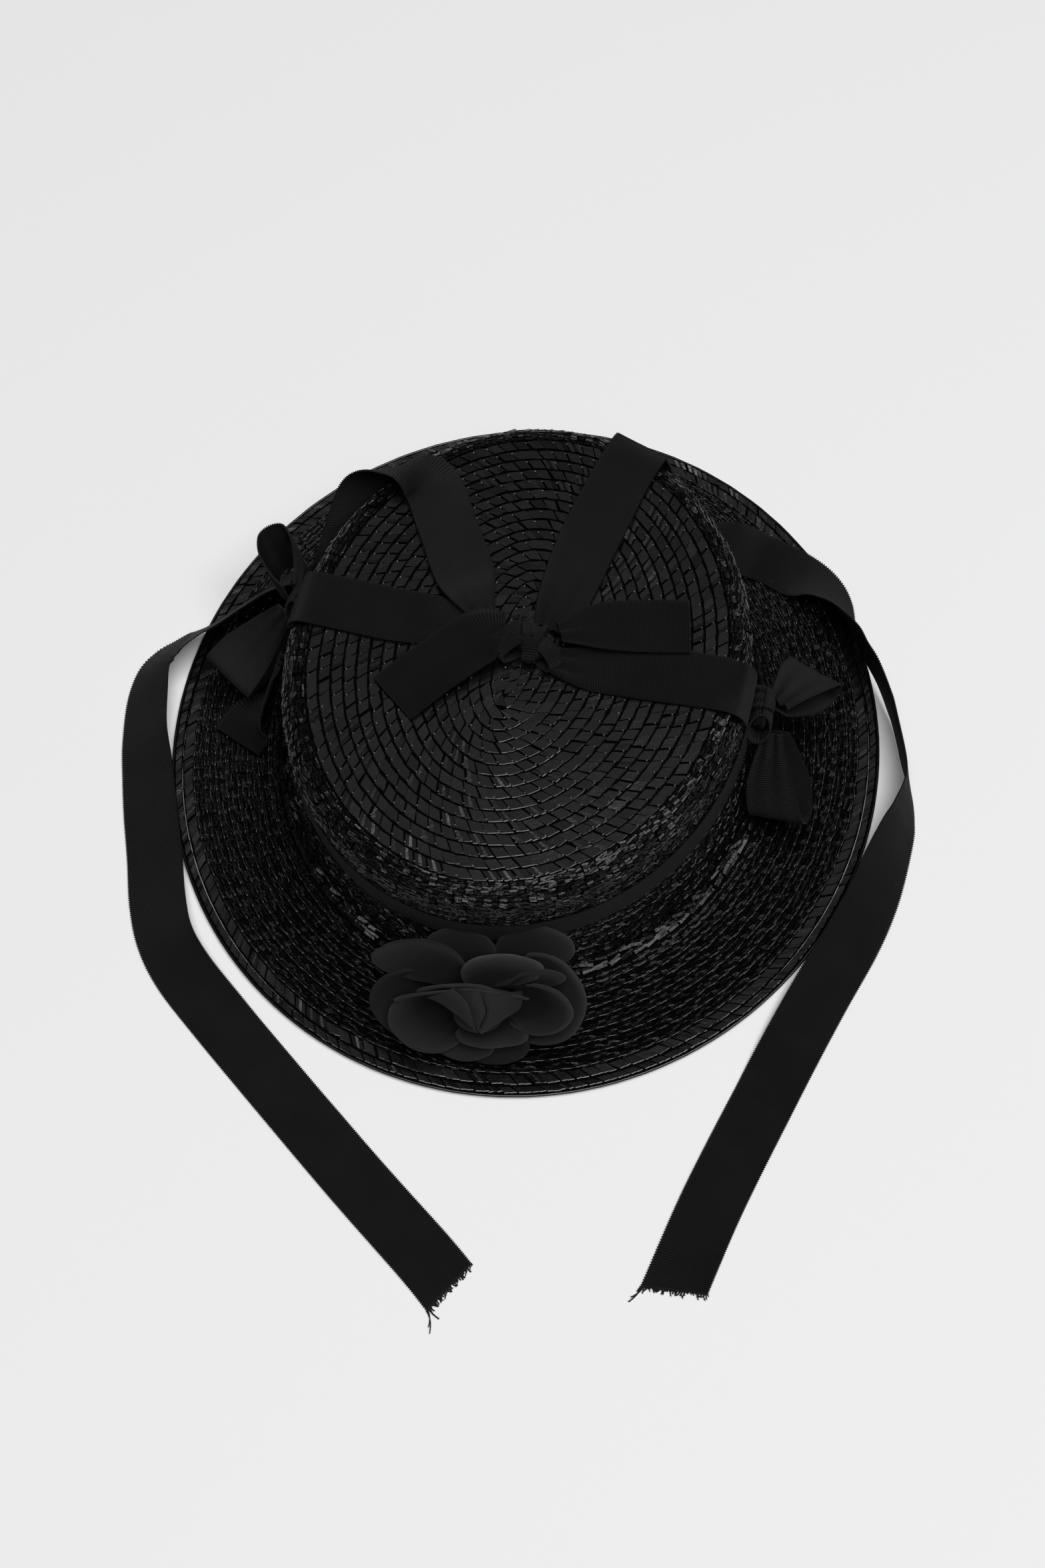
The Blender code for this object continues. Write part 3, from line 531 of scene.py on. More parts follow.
def woven_finish(name, dark, light, low, roughness, sheen, bump, threads, painted_shades=()):
    """Cloth on its own UV map, which is in centimetres: threads across and along, and uneven dye. On the
    grosgrain the dark bands of the threads along are painted shade in the ribs' grooves.
    """
    made, tree, shader = new_finish(name)
    own = add_node(tree, "UVMap", {}, uv_map="cloth")
    waves = {}
    for number, pitch in enumerate(threads):
        lines = {"Vector": own, "Scale": 0.314 / (pitch * 100), "Distortion": 0.2, "Detail Scale": 2}
        waves[number] = add_node(tree, "TexWave", lines, "Fac", bands_direction="XY"[number])
    weave_and_groove_shade = add_node(tree, "Math", waves, operation="MULTIPLY")
    place = add_node(tree, "TexCoord", {}, "Object")
    cloud = add_node(tree, "TexNoise", {"Vector": place, "Scale": 60, "Detail": 5}, "Fac")
    patches = add_node(tree, "MapRange", {"Value": cloud, "To Min": 0.35, "To Max": 0.65})
    blend = add_node(tree, "Math", {0: weave_and_groove_shade, 1: 0.5, 2: patches}, operation="MULTIPLY_ADD")
    dye_and_painted_shade = add_ramp(tree, blend, ((low, dark), (1, light)))
    # Painted shade along a petal: a ramp by the place along the petal darkens the cloth towards the root
    if painted_shades:
        along = add_node(tree, "SeparateXYZ", {"Vector": own}, "Y")
        share = add_node(tree, "Math", {0: along, 1: PETAL_UV_LENGTH}, operation="DIVIDE")
        shade = add_ramp(tree, share, [(stop, (value, value, value)) for stop, value in painted_shades])
        dye_and_painted_shade = add_node(tree, "VectorMath", {0: dye_and_painted_shade, 1: shade}, operation="MULTIPLY")
    feed(tree, shader, {
        "Base Color": dye_and_painted_shade,
        "Normal": add_node(tree, "Bump", {"Strength": bump, "Distance": FINE_BUMP, "Height": weave_and_groove_shade}),
        "Roughness": roughness,
        "Sheen Weight": sheen,
        "Sheen Roughness": 0.4,
        "Specular IOR Level": 0.25,
    })
    return made


def row_value(rows, share, column):
    """Reads a table by its first column, with straight runs between rows."""
    ordered = sorted(rows)
    if share <= ordered[0][0]:
        return ordered[0][column]
    for low, high in zip(ordered, ordered[1:]):
        if share <= high[0]:
            part = (share - low[0]) / (high[0] - low[0])
            return low[column] + part * (high[column] - low[column])
    return ordered[-1][column]


def brim_top(share):
    return BRIM_LIFT + STRAW_THICKNESS + BRIM_RISE * row_value(BRIM_ROWS, share, 1)


def brim_halves(share):
    """Half width and half length of the brim at a share of its width out from the wall."""
    inset = BRIM_WIDTH * (1 - share)
    return BRIM_HALF_WIDTH - inset, BRIM_HALF_LENGTH - inset


def wall_halves(share):
    """Half width and half length of the crown's wall at a share of its height. Its foot meets the brim."""
    edge_width, edge_length = brim_halves(0)
    rows = WALL_ROWS + ((FOOT_SHARE, edge_width / CROWN_HALF_WIDTH, edge_length / CROWN_HALF_LENGTH),)
    return CROWN_HALF_WIDTH * row_value(rows, share, 1), CROWN_HALF_LENGTH * row_value(rows, share, 2)


def crown_shift(share):
    """The crown leans a little to the left of the brim as it rises."""
    return CROWN_SHIFT * min(1, max(0, (share - FOOT_SHARE) / (1 - FOOT_SHARE)))


def move_where(chosen, move):
    """In edit mode, moves the vertices whose place passes a test."""
    mesh = bpy.context.object.data
    bpy.ops.mesh.select_mode(type="VERT")
    bpy.ops.mesh.select_all(action="DESELECT")
    shape = bmesh.from_edit_mesh(mesh)
    for vertex in shape.verts:
        vertex.select = chosen(vertex.co)
    shape.select_flush_mode()
    bmesh.update_edit_mesh(mesh)
    bpy.ops.transform.translate(value=move)


def cut_across(place, way):
    """In edit mode, cuts the whole mesh along a plane and keeps both sides."""
    bpy.ops.mesh.select_all(action="SELECT")
    bpy.ops.mesh.bisect(plane_co=place, plane_no=way)


def make_splint(length, width, place, slant):
    """One flat splint of straw with slanted ends and an outer edge that is folded down."""
    size = (length, width, SPLINT_THICKNESS)
    splint = added(bpy.ops.mesh.primitive_cube_add, "splint", size=1, location=place, scale=size)
    bpy.ops.object.mode_set(mode="EDIT")
    lean = slant * width / CROWN_PITCH
    move_where(lambda spot: spot.y > place[1], (-lean / 2, 0, 0))
    move_where(lambda spot: spot.y < place[1], (lean / 2, 0, 0))
    outer = place[1] + width / 2
    cut_across((0, outer - FOLD_WIDTH, 0), (0, 1, 0))
    cut_across(place, (1, 0, 0))
    move_where(lambda spot: spot.y > outer - FOLD_WIDTH / 2, (0, 0, -FOLD_DROP))
    move_where(lambda spot: spot.y > place[1] and abs(spot.x - place[0]) < 0.45 * length, (0, 0.0002, 0))
    bpy.ops.object.mode_set(mode="OBJECT")
    return splint


def make_lip(length, place, width):
    """The folded edge of the braid along one cell: a small round bead that bows outwards."""
    lip = added(
        bpy.ops.mesh.primitive_cylinder_add, "lip", vertices=6, radius=0.5, depth=1,
        location=place, rotation=(0, radians(90), 0), scale=(width, width, length)
    )
    bpy.ops.object.mode_set(mode="EDIT")
    for cut in (-0.2, 0.2):
        cut_across((place[0] + cut * length, place[1], place[2]), (1, 0, 0))
    move_where(lambda spot: abs(spot.x - place[0]) < 0.3 * length, (0, width * 0.1, 0))
    bpy.ops.object.mode_set(mode="OBJECT")
    bpy.ops.object.shade_smooth()
    return lip


def make_speck(place):
    """A small curl of crossing straw that shows in a slit. Its pale dye is a painted glint."""
    operator = bpy.ops.mesh.primitive_ico_sphere_add
    speck = added(operator, "speck", subdivisions=1, radius=0.5, location=place, scale=SPECK_SIZE)
    bpy.ops.object.shade_smooth()
    return speck


def dyed(item, finish):
    item.data.materials.append(finishes[finish])
    return item


def tilted(splint, along, across, aside=0):
    """Tips a splint about its own middle, along the row and across it, and turns it aside."""
    middle = sum((vertex.co for vertex in splint.data.vertices), Vector()) / len(splint.data.vertices)
    turn = rotation(along, "Y") @ rotation(across, "X") @ rotation(aside, "Z")
    splint.data.transform(Matrix.Translation(middle) @ turn @ Matrix.Translation(-middle))
    return splint


def make_cells(width, kinds, slant):
    """Cells of flat braid, one for each kind in a table of kinds."""
    cells = []
    for splints, speck in kinds:
        parts = []
        room = CELL_LENGTH - SLIT
        start = -0.5 * room
        for share, along, across in splints:
            length = room * share
            middle = (start + length / 2, -width * 0.04, 0)
            splint = make_splint(length - 0.0001, width * 0.82, middle, slant)
            parts.append(dyed(tilted(splint, along, across), "black_straw"))
            start += length
        if speck:
            curl = make_speck((CELL_LENGTH / 2 - slant * 0.25, width * 0.2, 0.0002))
            parts.append(dyed(curl, "curl_painted_glint"))
        cells.append(joined("cell", *parts))
    return cells


def make_rough_cells(width, lanes, columns, tip, lip, draws, finish):
    """Four cells of crinkled braid: short strands along the row, each tipped its own way, and a lip."""
    cells = []
    for _ in range(4):
        parts = []
        for lane in range(lanes):
            shift = draws.uniform(-0.5, 0.5)
            for column in range(columns):
                along = (column + 0.5 + 0.4 * shift) * CELL_LENGTH / columns - CELL_LENGTH / 2
                out = (lane + 0.5 + draws.uniform(-0.25, 0.25)) * width / lanes - width / 2
                spot = (along, out, draws.uniform(-0.0004, -0.0001))
                reach = CELL_LENGTH / columns * draws.uniform(0.8, 1.1)
                size = (reach, width / lanes * draws.uniform(0.6, 0.95), SPLINT_THICKNESS)
                strand = added(bpy.ops.mesh.primitive_cube_add, "strand", size=1, location=spot, scale=size)
                tilted(strand, draws.gauss(0, tip / 2), draws.gauss(0, tip), draws.gauss(0, 7))
                parts.append(dyed(strand, finish))
        if lip:
            bead = make_lip(CELL_LENGTH * 1.04, (0, width * 0.42, 0.0005), lip)
            parts.append(dyed(bead, "straw_lip"))
        cells.append(joined("cell", *parts))
    return cells


def add_cell(strip, cell, place):
    """Copies a cell into a strip."""
    first = len(strip.verts)
    strip.from_mesh(cell.data)
    strip.verts.ensure_lookup_table()
    bmesh.ops.transform(strip, matrix=place, verts=strip.verts[first:])


def strip_object(strip, cells):
    """Makes an object of a strip, with the finishes of its cells."""
    mesh = bpy.data.meshes.new("braid")
    strip.to_mesh(mesh)
    strip.free()
    for finish in max((cell.data.materials for cell in cells), key=len):
        mesh.materials.append(finish)
    return linked("braid", mesh)


def lay_row(cells, row, wobble, draws, weights=None):
    """Copies the cells one after another into a straight strip, then bends it round an oval."""
    half_width, half_length, height, lean, shift = row
    bpy.ops.curve.primitive_bezier_circle_add(radius=1, location=HAT + Vector((shift, 0, height)))
    ring = bpy.context.object
    ring.scale = (half_width, half_length, 1)
    bpy.ops.object.transform_apply(location=False, rotation=False, scale=True)
    ring.data.dimensions = "2D"
    ring.data.resolution_u = 32
    for knot in ring.data.splines[0].bezier_points:
        knot.radius = 1
    around = ring.data.splines[0].calc_length(resolution=64)
    count = max(3, round(around / CELL_LENGTH))
    step = around / count
    phase = draws.random()
    strip = bmesh.new()
    for number in range(count):
        cell = draws.choices(cells, weights=weights)[0]
        turn = rotation(draws.gauss(0, wobble), "X") @ rotation(draws.gauss(0, wobble), "Y")
        turn = turn @ rotation(draws.gauss(0, CELL_TURN), "Z")
        along = (number + phase) * step + draws.uniform(-0.07, 0.07) * CELL_LENGTH
        place = (along, draws.uniform(-CELL_SHIFT, CELL_SHIFT), draws.uniform(-CELL_SHIFT, CELL_SHIFT))
        stretch = Matrix.Diagonal((step / CELL_LENGTH * draws.uniform(0.92, 1.08), 1, 1, 1))
        add_cell(strip, cell, Matrix.Translation(place) @ turn @ stretch)
    bmesh.ops.rotate(strip, matrix=rotation(lean, "X", 3), verts=strip.verts)
    braid = strip_object(strip, cells)
    braid.location = ring.location
    bend = braid.modifiers.new("round", "CURVE")
    bend.object = ring
    bend.deform_axis = "POS_X"
    pick_only(braid)
    bpy.ops.object.modifier_apply(modifier="round")
    bpy.ops.object.transform_apply()
    bpy.data.objects.remove(ring)
    return braid


def lay_rows(name, cells, rows, wobble, draws, weights=None):
    """Rows of braid joined into one piece."""
    return joined(name, *[lay_row(cells, row, wobble, draws, weights) for row in rows])


def lay_middle(cells, draws):
    """Two straight rows that close the oval's middle."""
    strip = bmesh.new()
    count = ceil(2 * (CROWN_HALF_LENGTH - CROWN_HALF_WIDTH) / CELL_LENGTH)
    for side in (-1, 1):
        for number in range(count):
            cell = draws.choice(cells)
            turn = rotation(-90 * side + draws.gauss(0, 2), "Z")
            along = (number - (count - 1) / 2) * CELL_LENGTH + draws.uniform(-0.0004, 0.0004)
            place = HAT + Vector((CROWN_SHIFT + side * 0.0018, along, CROWN_HEIGHT))
            add_cell(strip, cell, Matrix.Translation(place) @ turn)
    return strip_object(strip, cells)


def drop_cells(cells):
    for cell in cells:
        bpy.data.objects.remove(cell)


def spun_oval(name, sections, vertices):
    """Spins a sheet from oval sections, and leaves it in edit mode with its last oval selected.

    A section is a half width, a half length, a height and a sideways shift.
    """
    width, length, height, shift = sections[0]
    middle = HAT + Vector((shift, 0, height))
    sheet = added(bpy.ops.mesh.primitive_circle_add, name, vertices=vertices, radius=1, location=middle)
    bpy.ops.object.mode_set(mode="EDIT")
    bpy.ops.mesh.select_all(action="SELECT")
    bpy.ops.transform.resize(value=(width, length, 1), center_override=middle)
    for next_width, next_length, next_height, next_shift in sections[1:]:
        move = (next_shift - shift, 0, next_height - height)
        bpy.ops.mesh.extrude_edges_move(TRANSFORM_OT_translate={"value": move})
        stretch = (next_width / width, next_length / length, 1)
        middle = HAT + Vector((next_shift, 0, next_height))
        bpy.ops.transform.resize(value=stretch, center_override=middle)
        width, length, height, shift = next_width, next_length, next_height, next_shift
    return sheet


def thicken(sheet, thickness, offset, angle):
    """Gives a sheet its thickness, and smooths it where it bends by less than an angle."""
    wall = sheet.modifiers.new("wall", "SOLIDIFY")
    wall.thickness = thickness
    wall.offset = offset
    pick_only(sheet)
    bpy.ops.object.modifier_apply(modifier="wall")
    bpy.ops.object.shade_smooth_by_angle(angle=radians(angle))


def make_backing(name, node, sections, capped=False):
    """The shell under the straw, spun from oval sections. It closes the hat, and its near-black dye is
    painted shade where it shows between the rows.
    """
    shell = spun_oval(name, sections, ROUND)
    if capped:
        bpy.ops.mesh.merge(type="CENTER")
    bpy.ops.mesh.select_all(action="SELECT")
    bpy.ops.mesh.normals_make_consistent(inside=False)
    bpy.ops.object.mode_set(mode="OBJECT")
    if max(shell.data.polygons, key=lambda face: face.center.z).normal.z < 0:
        shell.data.flip_normals()
    thicken(dyed(shell, "backing_painted_shade"), BACKING_THICKNESS, -1, 40)
    settle(shell, node)


def settle(piece, node):
    """The piece rides on the hat and stands for its CAD node, which it hides."""
    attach(piece, "root")
    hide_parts(node)


def wall_row(height):
    """A row's place on the crown's wall, with the way that the wall leans there."""
    share = height / CROWN_HEIGHT
    spans = [sum(wall_halves(share + step)) for step in (-SLOPE_STEP, SLOPE_STEP)]
    flare = (spans[0] - spans[1]) / (4 * SLOPE_STEP * CROWN_HEIGHT)
    return *wall_halves(share), height, WALL_LEAN - degrees(atan2(1, flare)), crown_shift(share)


def shoulder_oval(turn, sink=0):
    """Half width, half length and height of the shoulder where it has turned by an angle."""
    radius = SHOULDER_RADIUS - sink
    out = radius * sin(radians(turn))
    drop = radius * (1 - cos(radians(turn))) + sink
    return FLAT_HALF_WIDTH + out, FLAT_HALF_LENGTH + out, CROWN_HEIGHT - drop


def top_rows():
    """Places of the rows on the crown's flat top, from its rim to the middle."""
    rows = []
    inset = CROWN_PITCH / 2
    while FLAT_HALF_WIDTH - inset > MIDDLE_ROOM:
        rows.append((FLAT_HALF_WIDTH - inset, FLAT_HALF_LENGTH - inset, CROWN_HEIGHT, 0, CROWN_SHIFT))
        inset += CROWN_PITCH
    return rows


def wall_rows():
    rows = []
    height = CROWN_HEIGHT - SHOULDER_RADIUS - CROWN_PITCH / 2
    while height > CROWN_FOOT - CROWN_PITCH * 0.3:
        rows.append(wall_row(height))
        height -= CROWN_PITCH
    return rows


def crown_sections(sink):
    """Sections of the crown from its foot to the middle of its top, sunk under the straw."""
    rows = []
    heights = [CROWN_FOOT - STRAW_THICKNESS, CROWN_FOOT]
    heights += [CROWN_HEIGHT * row[0] for row in reversed(WALL_ROWS)]
    for height in heights:
        half_width, half_length = wall_halves(height / CROWN_HEIGHT)
        rows.append((half_width - sink, half_length - sink, height, crown_shift(height / CROWN_HEIGHT)))
    for turn in (67.5, 45, 22.5, 0):
        rows.append((*shoulder_oval(turn, sink), CROWN_SHIFT))
    for share in (0.7, 0.4, 0.1, 0.01):
        rows.append((FLAT_HALF_WIDTH * share, FLAT_HALF_LENGTH * share, CROWN_HEIGHT - sink, CROWN_SHIFT))
    return rows


def make_crown(draws):
    flat = make_cells(CROWN_PITCH, FLAT_KINDS, TOP_SLANT)
    rows = lay_rows("rows", flat, top_rows(), 1.1, draws, FLAT_WEIGHTS)
    settle(joined("crown_top_braid", rows, lay_middle(flat, draws)), "crown")
    lit = make_rough_cells(CROWN_PITCH, 6, 2, 14, 0, draws, "crinkled_straw")
    # The wall takes a darker copy of the straw, painted shade
    shaded = make_rough_cells(CROWN_PITCH, 6, 2, 18, 0, draws, "shaded_wall_straw")
    shoulder = [(*shoulder_oval(turn), -turn, CROWN_SHIFT) for turn in (15, 45, 75)]
    settle(lay_rows("crown_shoulder_braid", lit, shoulder, 3, draws), "crown")
    settle(lay_rows("crown_wall_braid", shaded, wall_rows(), 3, draws), "crown")
    drop_cells(flat + lit + shaded)
    make_backing("crown_backing", "crown", crown_sections(BACKING_SINK), True)


def brim_row(out, lean):
    """A row's place on the brim, leaning inward by an angle from the brim's own slope."""
    share = out / BRIM_WIDTH
    fall = brim_top(share + SLOPE_STEP) - brim_top(share - SLOPE_STEP)
    slope = degrees(atan2(fall, 2 * SLOPE_STEP * BRIM_WIDTH))
    return *brim_halves(share), brim_top(share), slope + lean, 0


def make_brim(draws):
    """Dark rows that lean inward, between a bright row at the wall and a pale one near the edge."""
    count = round((BRIM_WIDTH - EDGE_WIDTH) / BRIM_PITCH)
    pitch = (BRIM_WIDTH - EDGE_WIDTH - GAP) / count
    bright = make_rough_cells(pitch, 3, 1, 9, 0, draws, "crinkled_straw")
    first = lay_row(bright, brim_row(pitch * 0.5, 22), 4, draws)
    pale = make_cells(pitch, DIAGONAL_KINDS, BRIM_SLANT)
    last = lay_row(pale, brim_row(pitch * (count - 0.5), 8), 1.5, draws, DIAGONAL_WEIGHTS)
    # The dark rows take a darker copy of the straw, painted shade, besides the darkness that their lean
    # gives
    dark = make_rough_cells(pitch, 6, 2, 9, 0.0005, draws, "shaded_straw")
    rows = [brim_row(pitch * (number + 0.5), 15) for number in range(1, count - 1)]
    half = len(rows) // 2
    inner_rows = lay_rows("inner_rows", dark, rows[:half], 1, draws)
    outer_rows = lay_rows("outer_rows", dark, rows[half:], 1, draws)
    drop_cells(bright + pale + dark)
    settle(joined("brim_braid", inner_rows, first), "brim")
    settle(joined("brim_outer_braid", outer_rows, last), "brim")
    shares = [1 - (EDGE_WIDTH + GAP) / BRIM_WIDTH]
    shares += [row[0] for row in reversed(BRIM_ROWS[1:-1])] + [GAP / BRIM_WIDTH]
    sections = [(*brim_halves(share), brim_top(share) - BACKING_SINK, 0) for share in shares]
    make_backing("brim_backing", "brim", sections)


def edge_oval(inset, height):
    return BRIM_HALF_WIDTH - inset, BRIM_HALF_LENGTH - inset, height


def make_rolled_edge(draws):
    """The last row of braid: pale diagonal splints over a flat core, with a thin rolled cord outside."""
    room = EDGE_WIDTH - EDGE_CORD
    pale = make_cells(room, DIAGONAL_KINDS, EDGE_SLANT)
    row = (*edge_oval(EDGE_WIDTH - room / 2, EDGE_THICKNESS - 0.0003), 8, 0)
    splints = lay_row(pale, row, 1.5, draws, DIAGONAL_WEIGHTS)
    drop_cells(pale)
    rim = added(
        bpy.ops.mesh.primitive_torus_add, "rim",
        major_segments=160, minor_segments=10, major_radius=1, minor_radius=0.5, location=HAT
    )
    for vertex in rim.data.vertices:
        spot = vertex.co - HAT
        level = levelled(spot)
        half_width, half_length, height = edge_oval(
            EDGE_CORD / 2 - (level.length - 1) * EDGE_CORD, EDGE_THICKNESS - EDGE_CORD * 0.75
        )
        twist = 0.00012 * sin(60 * atan2(spot.y, spot.x))
        level.normalize()
        rise = height + spot.z * EDGE_CORD + twist
        vertex.co = HAT + Vector((level.x * half_width, level.y * half_length, rise))
    bpy.ops.object.shade_smooth()
    sections = [
        (*edge_oval(inset, height), 0)
        for inset, height in (
            (EDGE_WIDTH, 0.0003),
            (EDGE_WIDTH, EDGE_THICKNESS - 0.0008),
            (EDGE_CORD / 2, EDGE_THICKNESS - 0.001),
            (EDGE_CORD / 2, 0.0003),
            (EDGE_WIDTH, 0.0003),
        )
    ]
    core = spun_oval("core", sections, ROUND * 2)
    bpy.ops.mesh.select_all(action="SELECT")
    bpy.ops.mesh.remove_doubles(threshold=0.00001)
    bpy.ops.mesh.normals_make_consistent(inside=False)
    bpy.ops.object.mode_set(mode="OBJECT")
    bpy.ops.object.shade_smooth_by_angle(angle=radians(40))
    # The core takes the backing's near-black dye, painted shade under the pale splints
    edge = joined("rolled_edge", splints, dyed(rim, "black_straw"), dyed(core, "backing_painted_shade"))
    settle(edge, "brim_edge")


def side_surface(angle, share, lift):
    """A point off the crown's outer face, on the wall or the shoulder, and the way out from it."""
    height = CROWN_HEIGHT * share
    shoulder = CROWN_HEIGHT - SHOULDER_RADIUS
    tilt = 0
    half_width, half_length = wall_halves(min(share, WALL_ROWS[0][0]))
    if height > shoulder:
        tilt = asin(min(1, (height - shoulder) / SHOULDER_RADIUS)) * 0.5
        inset = SHOULDER_RADIUS * (1 - cos(2 * tilt)) * 0.55
        half_width -= inset
        half_length -= inset
    point = Vector((crown_shift(share) + half_width * cos(angle), half_length * sin(angle), height))
    out = Vector((cos(angle) / half_width, sin(angle) / half_length, 0)).normalized()
    normal = (out * cos(tilt) + UP * sin(tilt)).normalized()
    return HAT + point + normal * lift, normal


def place_point(place, first, second, lift, roll, half_width):
    """A station's point and the way out of the surface that it lies on."""
    base = GAP + RIBBON_THICKNESS / 2 + lift * RIBBON_WIDTH
    stand = half_width * abs(sin(radians(roll)))
    if place == "top":
        spot = (CROWN_SHIFT + first * CROWN_HALF_WIDTH, second * CROWN_HALF_LENGTH, CROWN_HEIGHT + base)
        return HAT + Vector(spot), UP
    if place == "side":
        return side_surface(radians(first), second, base)
    if place == "brim":
        half_x, half_y = brim_halves(second)
        level = max(brim_top(second), EDGE_THICKNESS if second > EDGE_SHARE else 0)
        spot = (half_x * cos(radians(first)), half_y * sin(radians(first)), level + base + stand)
        return HAT + Vector(spot), UP
    return HAT + Vector((first * BRIM_HALF_WIDTH, second * BRIM_HALF_LENGTH, base - GAP + stand)), UP


def between(values, index, part):
    """Catmull-Rom blend of a list of numbers or vectors."""
    last = len(values) - 1
    a = values[max(index - 1, 0)]
    b = values[index]
    c = values[min(index + 1, last)]
    d = values[min(index + 2, last)]
    slope = (c - a) * part
    bend = (2 * a - 5 * b + 4 * c - d) * part ** 2
    twist = (3 * b - a - 3 * c + d) * part ** 3
    return 0.5 * (2 * b + slope + bend + twist)


def curve_path(count, steps):
    """Places along a curve through so many points: the point before each, and how far on to the next."""
    path = [(index, step / steps) for index in range(count - 1) for step in range(steps)]
    return path + [(count - 2, 1)]


def ribbon_line(groups):
    """Middle points of a ribbon on its stations, each with the reach from there to the ribbon's edge."""
    stations = [(place, *row) for place, *rows in groups for row in rows]
    points = []
    normals = []
    rolls = []
    halves = []
    for place, first, second, lift, *rest in stations:
        roll, width = rest + [0, 1][len(rest):]
        rolls.append(float(roll))
        halves.append(width * RIBBON_WIDTH / 2)
        point, normal = place_point(place, first, second, lift, roll, halves[-1])
        points.append(point)
        normals.append(normal)
    path = curve_path(len(stations), STATION_STEPS)
    line = [between(points, index, part) for index, part in path]
    rows = []
    for number, (index, part) in enumerate(path):
        ahead = (line[min(number + 1, len(line) - 1)] - line[max(number - 1, 0)]).normalized()
        across = ahead.cross(between(normals, index, part).normalized()).normalized()
        turn = rotation(between(rolls, index, part), ahead, 3)
        reach = (turn @ across) * between(halves, index, part)
        sunk = RIBBON_THICKNESS / 2 - line[number].z + abs(reach.z)
        rows.append((line[number] + UP * max(0, sunk), reach))
    return rows


def even_rows(rows):
    """Walks along the rows and gives new ones half a rib apart, each with its way along the ribbon."""
    lengths = [0]
    for (before, _), (after, _) in zip(rows, rows[1:]):
        lengths.append(lengths[-1] + (after - before).length)
    count = max(2, round(lengths[-1] / RIB_PITCH) * 2)
    made = []
    index = 0
    for number in range(count + 1):
        along = lengths[-1] * number / count
        while index < len(lengths) - 2 and lengths[index + 1] < along:
            index += 1
        span = lengths[index + 1] - lengths[index]
        part = (along - lengths[index]) / span if span else 0
        middle, reach = (low.lerp(high, part) for low, high in zip(rows[index], rows[index + 1]))
        made.append((middle, reach, along))
    return made


def lay_uvs(mesh, places):
    """Writes each vertex's place on the flat cloth into a UV map of its own."""
    layer = mesh.uv_layers.new(name="cloth")
    for loop in mesh.loops:
        layer.data[loop.index].uv = places[loop.vertex_index]


def woven_mesh(name, points, faces, places, finish):
    mesh = bpy.data.meshes.new(name)
    mesh.from_pydata(points, [], faces)
    lay_uvs(mesh, places)
    mesh.materials.append(finishes[finish])
    return linked(name, mesh)


def grid_faces(rows, width):
    """Faces of a grid that has a number of rows with so many points in each."""
    faces = []
    for row in range(rows - 1):
        for column in range(width - 1):
            first = row * width + column
            faces.append((first, first + 1, first + 1 + width, first + width))
    return faces


def ribbed_cloth(name, rows, cut=0, ripple=RIPPLE, seed=0, pleat=0):
    """Weaves a ribbon over its rows: ribs across it, a picot at both edges, and pleats at its start."""
    points = []
    places = []
    # The crest's sign is set by the way the ribbon faces, to keep its ribs in step with the finish's bands,
    # whose dark bands are painted shade in the grooves
    outward = 0
    for (low, reach, _), (high, _, _) in zip(rows, rows[1:]):
        outward += reach.cross(high - low).dot(Vector((low.x - HAT.x, low.y - HAT.y, 0.1)))
    crest = copysign(RIB_DEPTH, outward)
    for number, (middle, reach, along) in enumerate(rows):
        ahead = (rows[min(number + 1, len(rows) - 1)][0] - rows[max(number - 1, 0)][0]).normalized()
        normal = reach.cross(ahead).normalized()
        rib = crest if number % 2 else -crest
        slant = cut * RIBBON_WIDTH / 2 * max(0, 1 - (rows[-1][2] - along) / CUT_FADE)
        for column in range(RIBBON_COLUMNS + 1):
            share = -1 + 2 * column / RIBBON_COLUMNS
            side = share
            if column in (0, RIBBON_COLUMNS) and not number % 2:
                side = share * (1 - PICOT_DEPTH / reach.length)
            wave = ripple * (0.5 + noise.noise(Vector((along * 45, share * 0.8, seed * 7.3))))
            wave += pleat * sin(PLEATS * pi * share + seed) * exp(-along / PLEAT_FADE)
            points.append(middle + reach * side + normal * (rib + wave) + ahead * slant * share)
            places.append((share * RIBBON_WIDTH * UV_SCALE, number * RIB_PITCH * UV_SCALE))
    faces = grid_faces(len(rows), RIBBON_COLUMNS + 1)
    ribbon = woven_mesh(name, points, faces, places, "black_grosgrain")
    thicken(ribbon, CLOTH_THICKNESS, 0, 24)
    return ribbon


def make_ribbon(node, stations, held, rests_on, seed):
    rows = even_rows(ribbon_line(stations))
    cut = CUTS.get(node, 0)
    ribbon = ribbed_cloth(node + "_ribbon", rows, cut, seed=seed, pleat=PLEAT_DEPTH)
    settle(ribbon, node)
    threads = []
    if cut:
        threads = [make_fray(node + "_fray", rows, cut * RIBBON_WIDTH / 2, seed)]
        settle(threads[0], node)
    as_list(rests_on)


